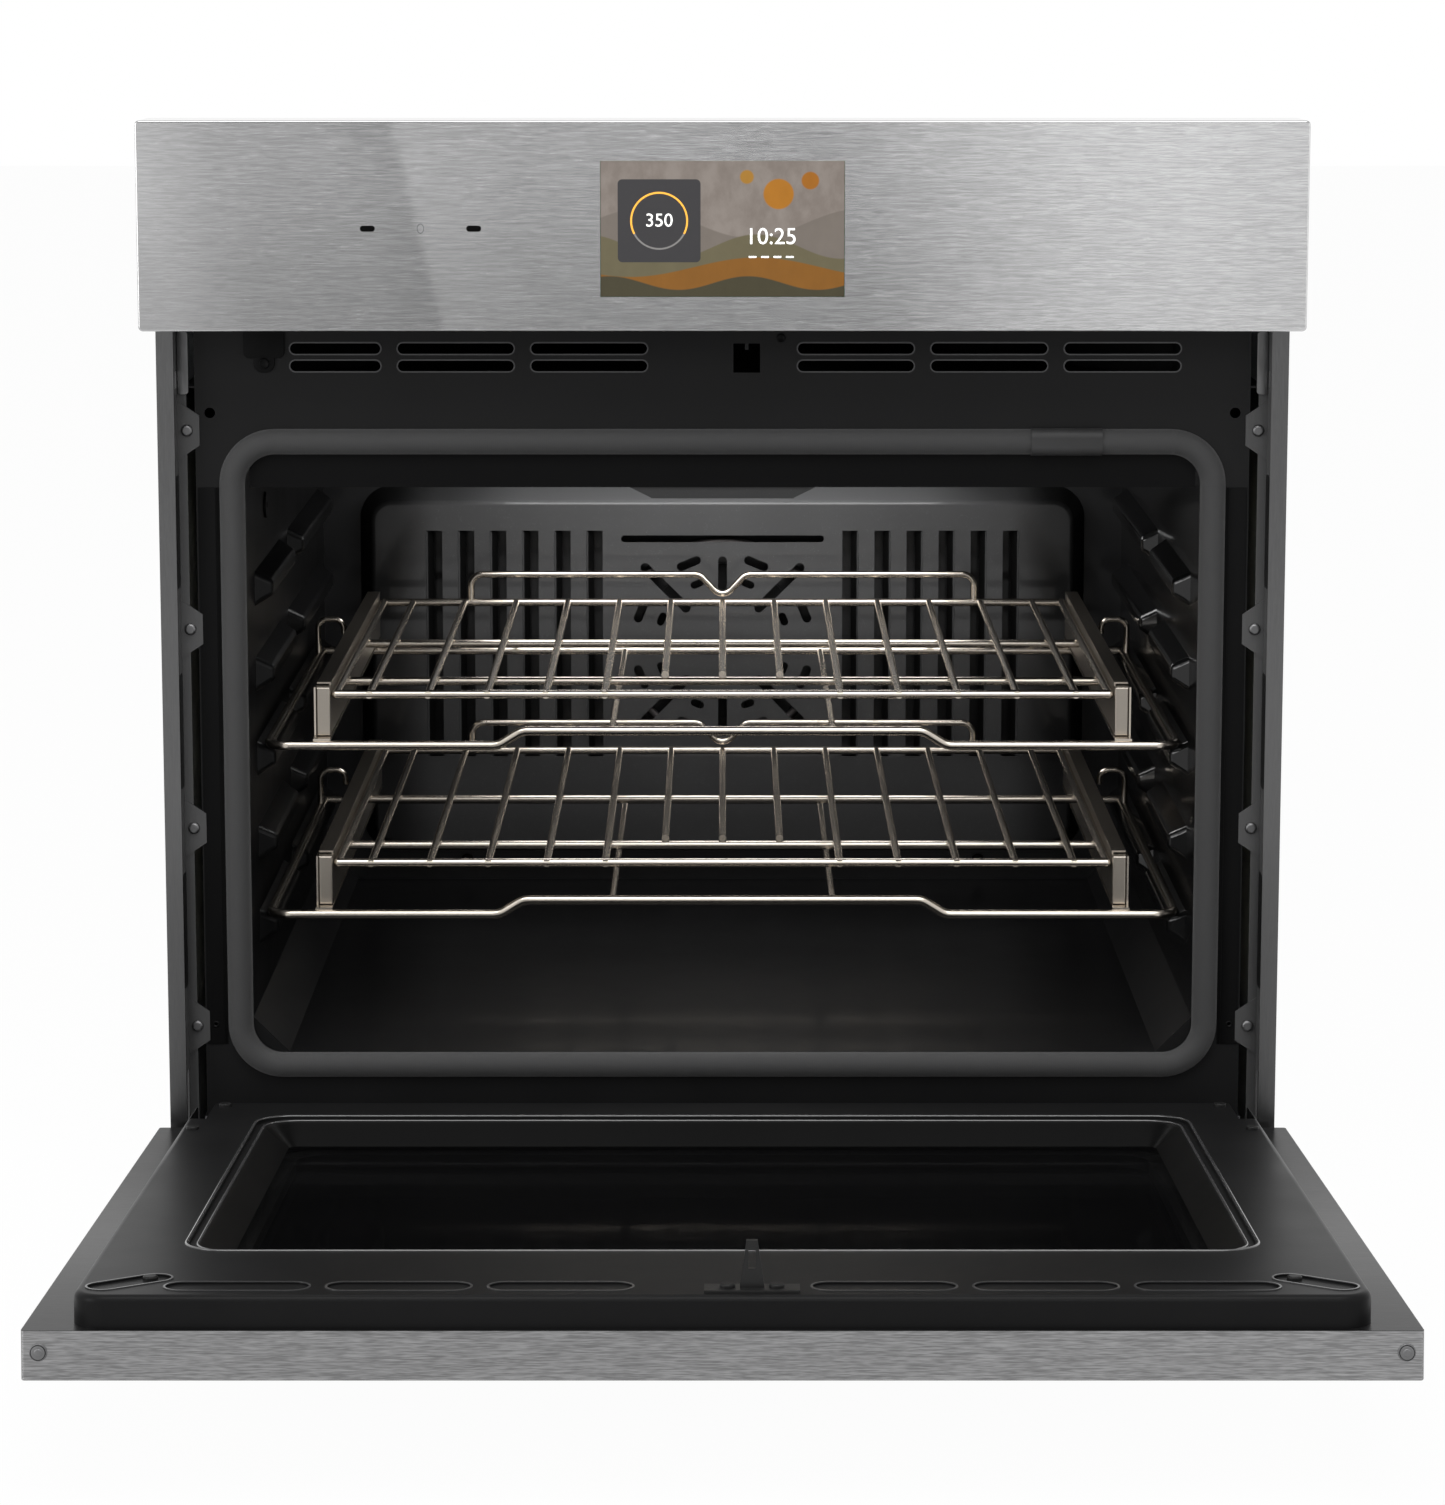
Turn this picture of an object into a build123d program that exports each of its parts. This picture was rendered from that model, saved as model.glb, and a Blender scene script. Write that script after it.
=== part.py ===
from build123d import *
import math
import os

os.makedirs("parts", exist_ok=True)

# Overall sizes of a 30 inch class built-in oven, in millimetres
front_width = 755.65
overall_height = 727.0
case_inset = 19.325
case_depth = 597.0
panel_rise = 28.0
case_sheet = 1.2
pan_sheet = 2.0
pan_flange = 20.0
bead_width = 9.0
bead_depth = 0.5
bead_y = (-150.0, 150.0)
bead_margin = 70.0
rear_vent_length = 92.0
rear_vent_height = 5.0
rear_vent_pitch = 12.0
rear_vent_rows = 6
rear_vent_x = (-210.0, -90.0, 30.0)
rear_vent_drop = 93.0

# Fits
seat_gap = 0.3
shaft_clearance = 0.05

# Control panel
panel_height = 135.8
panel_depth = 46.0
panel_standoff = 54.0
panel_sheet = 1.5
panel_corner = 3.0
panel_edge = 1.2
screen_width = 157.0
screen_height = 87.0
screen_thickness = 6.0
screen_drop = 26.0
screen_set_back = 0.2
board_margin = 8.0
board_thickness = 1.6
standoff_radius = 3.0
bracket_tab_width = 40.0
bracket_tab_reach = 14.0
bracket_tab_inset = 58.5

# Front frame
frame_inset = 9.6
frame_sheet = 1.5
frame_overlap = 10.0
mouth_side = 42.0
mouth_bottom = 98.5
mouth_drop = 86.2
mouth_corner = 20.0
vent_length = 76.5
vent_height = 7.0
vent_pitch = 88.0
vents_per_side = 3
short_vent_cut = 17.0
vent_row_drops = (27.4, 15.9)
latch_x = 16.0
latch_drop = 22.2
latch_hole_width = 17.6
latch_hole_height = 19.3
fixing_inset = 9.9
fixing_drop = 58.6
fixing_radius = 3.5

# Side and bottom trims
trim_inset = 6.425
trim_set_back = 35.0
trim_flange = 10.0
trim_rear_flange = 7.0
trim_sheet = 1.2
trim_bottom = 22.0
trim_panel_gap = 2.0
tab_shares = (0.1675, 0.4073, 0.6453, 0.8798)
tab_height = 41.0
tab_lap = 3.0
tab_taper = 10.5
trim_window_width = 9.0
trim_window_end = 8.0
rivet_radius = 4.0
rivet_height = 2.2
rivet_set_in = 7.2
bottom_trim_height = 15.0
bottom_trim_front = 36.0

# Cavity
cavity_rear_space = 54.0
ceiling_rise = 15.0
cavity_sheet = 1.2
floor_chamfer = 24.0
valance_drop = 22.0
valance_rise = 13.0
valance_side_gap = 3.0
rib_count = 5
rib_top_space = 101.0
first_level = 185.0
rib_height = 24.0
rib_depth = 12.0
rib_slope = 30.0
rib_round = 4.5
rib_starts = (46.0, 262.0)
front_rib_length = 166.0
rib_rear_space = 41.5
probe_y = 118.0
probe_drop = 49.0
probe_radius = 9.0
probe_bore = 4.0
probe_length = 9.0

# Gasket round the cavity mouth
gasket_width = 17.0
gasket_depth = 7.5
gasket_round = 6.0
sleeve_wall = 0.6
sleeve_x = (204.0, 251.0)

# Convection fan, its cover and its element
cover_side = 29.5
cover_bottom = 122.0
cover_drop = 88.0
cover_corner = 26.0
cover_depth = 22.0
cover_slope = 25.0
cover_round = 5.0
cover_sheet = 1.0
fan_drop = 124.0
louvre_count = 6
louvre_first_x = 101.0
louvre_pitch = 25.3
louvre_width = 13.0
louvre_margin = 57.0
louvre_angle = 40.0
top_slot_length = 160.0
top_slot_height = 5.5
top_slot_rise = 84.0
star_rays = ((0.0, 38.5, 70.0, 7.0), (45.0, 37.0, 90.0, 7.5))
star_dashes = ((52.0, 11.0, 6.0), (69.5, 20.0, 7.0))
fan_radius = 62.0
fan_disc = 1.2
fan_blade_depth = 11.0
fan_blade_count = 10
fan_hub_radius = 10.0
fan_wall_gap = 4.0
fan_shaft_radius = 4.0
fan_shaft_length = 34.0
fan_hole_gap = 2.0
motor_radius = 42.0
motor_length = 38.0
element_radius = 3.5
element_bend = 25.0
element_leg = 8.0
element_leg_share = 0.62
ring_radius = 80.0
ring_set_off = 9.0
ring_leg_x = 20.0
broil_drop = 12.0

# Lamp and temperature sensor
lamp_x = 190.0
lamp_set = 146.5
lamp_radius = 26.0
lamp_cup_height = 22.0
lamp_wall = 1.5
lamp_lens_rim = 4.0
lamp_lens_height = 5.0
bulb_radius = 7.0
sensor_x = -230.0
sensor_drop = 50.0
sensor_radius = 3.0
sensor_length = 60.0
sensor_flange = 12.0

# Insulation, service shelf, cooling blower and boards
shelf_drop = 42.2
insulation_bottom = 84.0
blanket_inset = 3.0
blower_set = 209.5
blower_radius = 78.0
duct_height = 45.0
duct_side = 52.3
duct_straight = 62.0
wheel_radius = 62.0
wheel_height = 28.0
wheel_lift = 6.0
wheel_blades = 20
wheel_ring_width = 14.0
wheel_blade_width = 12.0
wheel_shaft_radius = 3.0
blower_motor_radius = 34.0
blower_motor_height = 36.0
inlet_count = 8
inlet_ring = 52.0
inlet_radius = 9.0
power_board_side = 37.3
power_board_set = 85.5
power_board_size = (190.0, 150.0)
power_standoff = 8.0
relay_size = (22.0, 28.0, 18.0)
relay_pitch = (40.0, 46.0)
relay_rows = (4, 2)
gland_x = 250.0
gland_drop = 49.0
gland_bore = 11.0
gland_wall = 2.8
gland_flange = 5.0
gland_flange_depth = 3.0
gland_length = 14.0

# Latch
latch_pivot_y = 45.5
latch_pivot_rise = 16.0
latch_pin_radius = 2.0
latch_ear_spacing = 18.0
latch_ear = 2.0
latch_ear_width = 14.0
hook_hub_radius = 5.0
hook_width = 9.0
hook_finger_width = 2.4
hook_finger_depth = 3.0
hook_arm_height = 4.0
hook_reach = 40.0
hook_finger_drop = 11.0

# Racks
wire_radius = 2.6
bar_radius = 3.0
frame_wire_radius = 3.2
thin_wire_radius = 2.2
grid_rise = 32.0
rack_set_back = 54.5
rack_rear_space = 72.0
rack_wires = 13
rack_edge_gap = 22.9
rack_cut_wires = 3
rack_bars = (83.0, 247.0)
rack_side_gap = 53.0
rack_levels = {"upper": 2, "lower": 0}
weld = 0.5
weld_gap = 0.05
guard_half = 195.5
guard_rise = 22.0
guard_dip_half = 18.0
guard_bend = 9.0
support_side_gap = 8.0
support_set_back = 36.5
support_rear_space = 108.0
support_step_x = 152.0
support_step_rise = 10.0
support_step_run = 16.0
support_bend = 14.0
support_rod_x = 75.0
hook_ahead = 29.0
hook_rise = 29.0
hook_in = 19.5
hook_fall = 11.0
hook_bend = 7.0
rail_side_gap = 39.0
rail_sheet = 1.2
rail_height = 35.0
rail_width = 11.5
rail_play = 1.0
rail_lip = 7.0
rail_cap = 8.0

# Door
door_gap = 4.2
door_bottom = 22.0
tray_depth = 27.5
tray_sheet = 1.2
tray_corner = 2.0
tray_rim = 33.0
tray_rim_top = 12.0
liner_inset = 25.825
liner_edge = 4.0
liner_rise = 18.0
liner_sheet = 1.5
liner_corner = 18.0
liner_round = 4.0
window_side = 48.0
window_bottom_edge = 50.0
window_top_edge = 111.0
window_corner = 22.0
window_step = 2.0
window_step_width = 5.0
window_slope_run = 16.0
funnel_floor = 2.1
emboss_count = 3
emboss_pitch = 88.0
emboss_length = 78.5
emboss_width = 20.0
emboss_depth = 1.0
emboss_edge = 22.0
glass_thickness = 4.0
glass_lap = 9.0
glass_frame_width = 16.0
outer_window_side = 117.825
outer_window_edge = 117.5
outer_window_lift = 40.0
strike_plate_width = 52.0
strike_plate_height = 16.0
strike_plate = 1.5
strike_height = 27.5
strike_base = 14.0
strike_tip = 6.0
strike_thickness = 3.0
strike_hole_width = 4.0
strike_hole = (12.0, 22.0)
strike_screw_spacing = 26.8
door_screw_radius = 4.2
door_screw_height = 2.2
liner_screws = ((8.5, 93.0), (20.5, 14.0))
corner_screw = (38.0, 43.0)
corner_recess = (28.0, 32.0)
corner_recess_length = 50.0
corner_recess_width = 18.0
corner_recess_angle = 37.0
edge_screw_inset = 9.5
edge_screw_set_back = 15.6
edge_screw_height = 1.5

# Door hinges
open_angle = 85.3
axis_set_back = 10.8
axis_height = 37.9
hinge_inset = 33.325
arm_thickness = 6.0
arm_half_height = 6.5
arm_length = 104.0
hinge_side_gap = 1.3
hinge_notch_width = 11.0
hinge_notch_height = 58.0
hinge_pin_radius = 3.5
cheek = 3.0
channel_height = 100.0
channel_depth = 22.0
channel_base = 1.5
receiver_wall = 3.0
receiver_length = 52.0
receiver_rise = 9.0

# Fasteners of the case
case_screw_radius = 4.0
case_screw_height = 2.0
case_screw_edge = 9.0

# Sizes and places worked out from the values above: across the width
front_half = front_width / 2
case_half = front_half - case_inset
side_inner = case_half - case_sheet
trim_half_width = front_half - trim_inset
frame_half_width = case_half - frame_inset
fixing_half = frame_half_width - fixing_inset
cavity_half = case_half - mouth_side
mouth_width = 2 * cavity_half
cover_width = mouth_width - 2 * cover_side
duct_half_width = side_inner - duct_side
power_board_x = (power_board_side - side_inner, power_board_side - side_inner + power_board_size[0])
rack_side_x = cavity_half - rack_side_gap
rack_pitch = 2 * (rack_side_x - rack_edge_gap) / (rack_wires - 1)
support_side_x = cavity_half - support_side_gap
rail_half_outer = cavity_half - rail_side_gap
liner_half_width = front_half - liner_inset
window_width = 2 * (liner_half_width - window_side)
outer_window_width = 2 * (front_half - outer_window_side)
hinge_x = front_half - hinge_inset

# Front to rear
frame_y = -case_depth / 2
frame_back = frame_y + frame_sheet
panel_y = frame_y - panel_standoff
rear_y = case_depth / 2
cavity_rear = rear_y - cavity_rear_space
cavity_depth = cavity_rear - frame_back
rib_ends = (rib_starts[0] + front_rib_length, cavity_depth - rib_rear_space)
cover_face = cavity_rear - cover_depth
fan_back = cavity_rear - fan_wall_gap
lamp_y = cavity_rear - lamp_set
blower_centre = rear_y - blower_set
power_board_y = (rear_y - power_board_set - power_board_size[1], rear_y - power_board_set)
rack_front = frame_back + rack_set_back
rack_rear = cavity_rear - rack_rear_space
support_front = frame_back + support_set_back
support_rear = cavity_rear - support_rear_space
liner_face = panel_y + tray_depth + liner_rise
axis_y = panel_y + axis_set_back

# Heights
case_height = overall_height - panel_rise
panel_bottom = overall_height - panel_height
screen_z = overall_height - screen_drop - screen_height / 2
frame_top = panel_bottom + frame_overlap
vent_row_z = [panel_bottom - drop for drop in vent_row_drops]
latch_z = panel_bottom - latch_drop
latch_pivot_z = latch_z + latch_pivot_rise
fixing_z = panel_bottom - fixing_drop
mouth_top = panel_bottom - mouth_drop
floor_z = mouth_bottom
cavity_ceiling = mouth_top + ceiling_rise
rib_pitch = (cavity_ceiling - rib_top_space - first_level) / (rib_count - 1)
probe_z = mouth_top - probe_drop
cover_top = mouth_top - cover_drop
fan_z = cover_top - fan_drop
louvre_height = cover_top - cover_bottom - 2 * louvre_margin
sensor_z = cavity_ceiling - sensor_drop
shelf_z = panel_bottom - shelf_drop
shelf_top = shelf_z + case_sheet
gland_z = case_height - gland_drop
rear_vent_z = case_height - rear_vent_drop
trim_top = panel_bottom - trim_panel_gap
tab_heights = [trim_bottom + share * (trim_top - trim_bottom) for share in tab_shares]
door_top = panel_bottom - door_gap
outer_window_height = door_top - door_bottom - 2 * outer_window_edge
liner_top = door_top - liner_edge
liner_bottom = door_bottom + liner_edge
window_height = liner_top - liner_bottom - window_bottom_edge - window_top_edge


def block(x, y, z):
    """Box from three (low, high) pairs."""
    centre = Pos((x[0] + x[1]) / 2, (y[0] + y[1]) / 2, (z[0] + z[1]) / 2)
    return centre * Box(x[1] - x[0], y[1] - y[0], z[1] - z[0])


def pair(low, size):
    """A (low, high) pair from its low end and its size."""
    return (low, low + size)


def around(centre, size):
    """A (low, high) pair from its middle and its size."""
    return (centre - size / 2, centre + size / 2)


def front_plate(sketch, y, thickness):
    """A front view drawn in X and Z, given its thickness from y towards the rear."""
    plane = Plane(origin=(0, y + thickness, 0), x_dir=(1, 0, 0), z_dir=(0, -1, 0))
    return extrude(plane * sketch, amount=thickness)


def rod(start, end, radius):
    """Round bar between two points."""
    along = Vector(*end) - Vector(*start)
    plane = Plane(origin=start, z_dir=along)
    return plane * Cylinder(radius, along.length, align=(Align.CENTER, Align.CENTER, Align.MIN))


def rod_x(span, y, z, radius):
    """Round bar along X."""
    return rod((span[0], y, z), (span[1], y, z), radius)


def rod_y(x, span, z, radius):
    """Round bar along Y."""
    return rod((x, span[0], z), (x, span[1], z), radius)


def bent_wire(points, radius, bend):
    """Round wire along straight runs joined by tangent bends."""
    path = FilletPolyline(*points, radius=bend)
    return sweep(Plane(origin=path @ 0, z_dir=path % 0) * Circle(radius), path=path)


def both_sides(shape):
    """A right-hand piece and its mirror image."""
    return [shape, mirror(shape, about=Plane.YZ)]


def opened(shape):
    """Swing a door piece from its closed place to the open rest pose."""
    return Pos(0, axis_y, axis_height) * Rot(open_angle, 0, 0) * Pos(0, -axis_y, -axis_height) * shape


def save(name, pieces):
    """Write one node, as one solid or as a group of like solids."""
    shapes = pieces if isinstance(pieces, list) else [pieces]
    solids = [solid for shape in shapes for solid in shape.solids()]
    export_step(solids[0] if len(solids) == 1 else Compound(solids), f"parts/{name}.step")


# Case panels
def make_base_pan():
    pan = block((-side_inner, side_inner), (frame_y, rear_y - case_sheet), (0, pan_sheet))
    pan += block((-side_inner, side_inner), (frame_y, frame_back), (0, pan_flange))
    for flange in both_sides(block((side_inner - pan_sheet, side_inner), (frame_back, rear_y - case_sheet),
                                   (0, pan_flange))):
        pan += flange
    return pan


def make_side_panel():
    """Right-hand panel with two pressed stiffening beads."""
    height = case_height - case_sheet
    panel = block((side_inner, case_half), (frame_y + trim_sheet, rear_y), (0, height))
    plane = Plane(origin=(case_half - bead_depth, 0, 0), x_dir=(0, 0, 1), z_dir=(1, 0, 0))
    for y in bead_y:
        bead = Pos(height / 2, -y) * SlotOverall(height - 2 * bead_margin, bead_width)
        panel -= extrude(plane * bead, amount=2 * bead_depth)
    return panel


def case_screw_places():
    """Points on the top cover and on the rear panel that take a screw."""
    top = [(x, y) for x in (-side_inner + case_screw_edge, side_inner - case_screw_edge)
           for y in (frame_back + case_screw_edge, 0, rear_y - case_sheet - case_screw_edge)]
    rear = [(x, z) for x in (-side_inner + case_screw_edge, side_inner - case_screw_edge)
            for z in (pan_flange + case_screw_edge, case_height / 2, case_height - 3 * case_screw_edge)]
    return top, rear


def make_top_cover():
    cover = block((-case_half, case_half), (frame_y, rear_y), (case_height - case_sheet, case_height))
    for x, y in case_screw_places()[0]:
        cover -= Pos(x, y, case_height) * Cylinder(case_screw_radius / 2, 4 * case_sheet)
    return cover


def make_rear_panel():
    panel = block((-side_inner, side_inner), (rear_y - case_sheet, rear_y), (0, case_height - case_sheet))
    through = (rear_y - 3 * case_sheet, rear_y + case_sheet)
    panel -= rod_y(gland_x, through, gland_z, gland_bore + gland_wall + seat_gap)
    for x, z in case_screw_places()[1]:
        panel -= rod_y(x, through, z, case_screw_radius / 2)
    vent = SlotOverall(rear_vent_length, rear_vent_height)
    vents = [Pos(x, rear_vent_z + row * rear_vent_pitch) * vent
             for x in rear_vent_x for row in range(rear_vent_rows)]
    return panel - front_plate(Sketch() + vents, through[0], through[1] - through[0])


def make_case_screws():
    top, rear = case_screw_places()
    shank = case_screw_radius / 2 - seat_gap
    depth = 2 * case_sheet
    screws = []
    for x, y in top:
        head = Pos(x, y, case_height + case_screw_height / 2) * Cylinder(case_screw_radius, case_screw_height)
        screws.append(head + rod((x, y, case_height - depth), (x, y, case_height + depth / 2), shank))
    for x, z in rear:
        head = rod_y(x, pair(rear_y, case_screw_height), z, case_screw_radius)
        screws.append(head + rod_y(x, (rear_y - depth, rear_y + depth / 2), z, shank))
    return screws


def make_conduit_gland():
    outer = gland_bore + gland_wall
    flange = pair(rear_y, gland_flange_depth)
    span = (flange[1] - gland_length, flange[1])
    gland = rod_y(gland_x, span, gland_z, outer)
    gland += rod_y(gland_x, flange, gland_z, outer + gland_flange)
    return gland - rod_y(gland_x, span, gland_z, gland_bore)


# Front frame, trims and gasket
def mouth_sketch(grow=0.0):
    """Rounded outline of the cavity mouth, grown outwards."""
    height = mouth_top - mouth_bottom + 2 * grow
    middle = (mouth_top + mouth_bottom) / 2
    return Pos(0, middle) * RectangleRounded(mouth_width + 2 * grow, height, mouth_corner + grow)


def make_front_frame():
    height = frame_top - pan_flange
    sketch = Pos(0, pan_flange + height / 2) * Rectangle(2 * frame_half_width, height)
    sketch -= mouth_sketch()
    for row in vent_row_z:
        for index in range(vents_per_side):
            for side in (-1, 1):
                cut = short_vent_cut if side < 0 and index == vents_per_side - 1 else 0
                place = Pos(side * ((index + 1) * vent_pitch - cut / 2), row)
                sketch -= place * SlotOverall(vent_length - cut, vent_height)
    sketch -= Pos(latch_x, latch_z) * Rectangle(latch_hole_width, latch_hole_height)
    notch_width = frame_half_width - hinge_x + hinge_notch_width / 2
    notch_height = 2 * (arm_half_height + hinge_side_gap)
    for side in (-1, 1):
        sketch -= Pos(side * fixing_half, fixing_z) * Circle(fixing_radius)
        notch = Pos(side * (frame_half_width - notch_width / 2), axis_height)
        sketch -= notch * Rectangle(notch_width, notch_height)
    return front_plate(sketch, frame_y, frame_sheet)


def make_side_trim():
    """Right-hand trim: front flange, return wall with windows, rear flange and lapping tabs."""
    inner = trim_half_width - trim_flange
    front = panel_y + trim_set_back
    span = (trim_bottom, trim_top)
    trim = block((inner - trim_sheet, trim_half_width), pair(front, trim_sheet), span)
    trim += block((inner - trim_sheet, inner), (front, frame_y + trim_sheet), span)
    trim += block((inner - trim_rear_flange, inner), pair(frame_y, trim_sheet), span)
    middle = (front + frame_y) / 2 + trim_sheet / 2
    for low, high in zip([trim_bottom] + tab_heights, tab_heights + [trim_top]):
        bottom = low + tab_height / 2 + trim_window_end
        length = high - tab_height / 2 - trim_window_end - bottom
        if length > trim_window_width:
            trim -= block((inner - 2 * trim_sheet, inner + trim_sheet / 2),
                          around(middle, trim_window_width), pair(bottom, length))
    reach = inner - trim_rear_flange - frame_half_width + tab_lap
    tip = inner - trim_rear_flange - reach
    half = tab_height / 2
    for height in tab_heights:
        outline = Polyline((inner, height - half), (inner, height + half), (tip, height + half - tab_taper),
                           (tip, height - half + tab_taper), close=True)
        trim += front_plate(make_face(outline), frame_y - trim_sheet, trim_sheet)
    return trim


def make_trim_rivets():
    base = frame_y - trim_sheet
    x = trim_half_width - trim_flange - rivet_set_in
    rivets = []
    for height in tab_heights:
        head = rod_y(x, (base - rivet_height, base), height, rivet_radius)
        rivets.append(fillet(head.faces().sort_by(Axis.Y)[0].edges(), 0.9 * rivet_height))
    return [copy for rivet in rivets for copy in both_sides(rivet)]


def make_bottom_trim():
    front = panel_y + bottom_trim_front
    wide = (-trim_half_width, trim_half_width)
    trim = block(wide, pair(front, trim_sheet), pair(pan_sheet, bottom_trim_height))
    return trim + block(wide, (front, frame_y), pair(pan_sheet, trim_sheet))


def gasket_ring(grow=0.0):
    """Domed ring round the mouth, made a little fatter by grow."""
    depth = gasket_depth + grow
    ring = front_plate(mouth_sketch(gasket_width + grow) - mouth_sketch(-grow), frame_y - depth, depth)
    return fillet(ring.faces().sort_by(Axis.Y)[0].edges(), gasket_round)


def make_gasket_sleeve():
    middle = mouth_top + gasket_width / 2
    window = block(sleeve_x, (frame_y - 2 * gasket_depth, frame_y), around(middle, 2 * gasket_width))
    return (gasket_ring(sleeve_wall) & window) - gasket_ring()


# Cavity
def level_z(level):
    """Height of a rack frame's side wire at a rack level."""
    return first_level + level * rib_pitch


def make_cavity_wall():
    """Right-hand wall with its pressed rack ledges and the room that they need."""
    wall = block((cavity_half, cavity_half + cavity_sheet), (frame_back, cavity_rear),
                 (floor_z + floor_chamfer, cavity_ceiling))
    slope = math.radians(rib_slope)
    wire_set = cavity_half - support_side_x
    lift = rib_height / 2 - wire_set * math.tan(slope) + (frame_wire_radius + seat_gap) / math.cos(slope)
    plane = Plane(origin=(cavity_half, 0, 0), x_dir=(0, 1, 0), z_dir=(-1, 0, 0))
    for level in range(rib_count):
        for start, end in zip(rib_starts, rib_ends):
            middle = Pos(frame_back + (start + end) / 2, lift - level_z(level))
            sketch = plane * middle * Rectangle(end - start, rib_height)
            rib = extrude(sketch, amount=rib_depth, taper=rib_slope)
            wall += fillet(rib.edges() - rib.faces().sort_by(Axis.X)[-1].edges(), rib_round)
    return wall


def make_left_wall():
    wall = mirror(make_cavity_wall(), about=Plane.YZ)
    through = around(-cavity_half, 4 * cavity_sheet)
    return wall - rod_x(through, frame_back + probe_y, probe_z, probe_radius / 2 + seat_gap)


def make_probe_jack():
    y = frame_back + probe_y
    wall = -cavity_half
    jack = rod_x((wall, wall + lamp_wall), y, probe_z, probe_radius)
    jack += rod_x((wall - probe_length, wall + lamp_wall), y, probe_z, probe_radius / 2)
    return jack - rod_x((wall - probe_length / 2, wall + 2 * lamp_wall), y, probe_z, probe_bore / 2)


def make_cavity_floor():
    """Floor sheet whose sides slope up to the walls, with a gusset behind each corner of the mouth."""
    corner = math.tan(math.pi / 8) * cavity_sheet
    edge = cavity_half + cavity_sheet
    flat = cavity_half - floor_chamfer
    rise = floor_z + floor_chamfer
    half = [(flat, floor_z), (cavity_half, rise), (edge, rise), (edge, rise - corner),
            (flat + corner, floor_z - cavity_sheet)]
    outline = Polyline(*half, *[(-x, z) for x, z in reversed(half)], close=True)
    floor = front_plate(make_face(outline), frame_back, cavity_depth)
    bottom = floor_z - cavity_sheet
    gusset = make_face(Polyline((flat, bottom), (edge, bottom), (edge, rise), close=True))
    for piece in both_sides(front_plate(gusset, frame_back, cavity_sheet)):
        floor += piece
    return floor


def make_cavity_ceiling():
    edge = cavity_half + cavity_sheet
    ceiling = block((-edge, edge), (frame_back, cavity_rear), pair(cavity_ceiling, cavity_sheet))
    hole = Cylinder(lamp_radius + seat_gap, 4 * cavity_sheet)
    return ceiling - Pos(lamp_x, lamp_y, cavity_ceiling) * hole


def element_points(z):
    """Winding plan of a rod element, both ends leaving through the rear."""
    rear = cavity_rear - 2 * element_bend
    inner_rear = rear - 3 * element_bend
    front = frame_back + 4 * element_bend
    step = (cavity_half - 3 * element_bend) / 5
    end = cavity_rear + cavity_sheet + element_leg
    leg = element_leg_share * step
    half = [(leg, end), (leg, rear), (5 * step, rear), (5 * step, front), (3 * step, front),
            (3 * step, inner_rear), (step, inner_rear), (step, front)]
    loop = half + [(-x, y) for x, y in reversed(half)]
    return [(x, y, z) for x, y in loop]


def make_element(z):
    return bent_wire(element_points(z), element_radius, element_bend - element_radius)


def broil_z():
    return cavity_ceiling - broil_drop


def make_rear_wall():
    edge = cavity_half + cavity_sheet
    span = (cavity_rear, cavity_rear + cavity_sheet)
    wall = block((-edge, edge), span, (floor_z - cavity_sheet, cavity_ceiling + cavity_sheet))
    leg_x = element_points(0)[0][0]
    holes = [(0, fan_z, fan_shaft_radius + fan_hole_gap), (sensor_x, sensor_z, sensor_radius + seat_gap)]
    for side in (-1, 1):
        holes.append((side * leg_x, broil_z(), element_radius + seat_gap))
        holes.append((side * ring_leg_x, ring_leg_z(), element_radius + seat_gap))
    for x, z, radius in holes:
        wall -= rod_y(x, (span[0] - cavity_sheet, span[1] + cavity_sheet), z, radius)
    return wall


def make_valance():
    half = cavity_half - valance_side_gap
    return block((-half, half), pair(frame_back, case_sheet),
                 (mouth_top - valance_drop, mouth_top + valance_rise))


def make_temperature_sensor():
    span = (cavity_rear - sensor_length, cavity_rear + cavity_sheet + element_leg / 2)
    probe = rod_y(sensor_x, span, sensor_z, sensor_radius)
    return probe + rod_y(sensor_x, (cavity_rear - lamp_wall, cavity_rear), sensor_z, sensor_flange)


# Convection fan and its cover
def tangent_slot(angle, radius, length, width):
    """Short slot across a ray from the fan's centre."""
    x = radius * math.cos(math.radians(angle))
    z = fan_z + radius * math.sin(math.radians(angle))
    return Pos(x, z) * Rot(0, 0, angle + 90) * SlotOverall(length, width)


def ray_slot(angle, inner, outer, width):
    """Slot along a ray from the fan's centre."""
    middle = (inner + outer) / 2
    x = middle * math.cos(math.radians(angle))
    z = fan_z + middle * math.sin(math.radians(angle))
    return Pos(x, z) * Rot(0, 0, angle) * SlotOverall(outer - inner, width)


def cover_slots():
    """Star of air slots over the fan, and the long slot above it."""
    slots = Pos(0, fan_z + top_slot_rise) * SlotOverall(top_slot_length, top_slot_height)
    for quarter in range(4):
        for angle, inner, outer, width in star_rays:
            slots += ray_slot(90 * quarter + angle, inner, outer, width)
    for eighth in range(8):
        for radius, length, width in star_dashes:
            slots += tangent_slot(45 * eighth + 22.5, radius, length, width)
    return slots


def louvre_places():
    return [louvre_first_x + index * louvre_pitch for index in range(louvre_count)]


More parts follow.
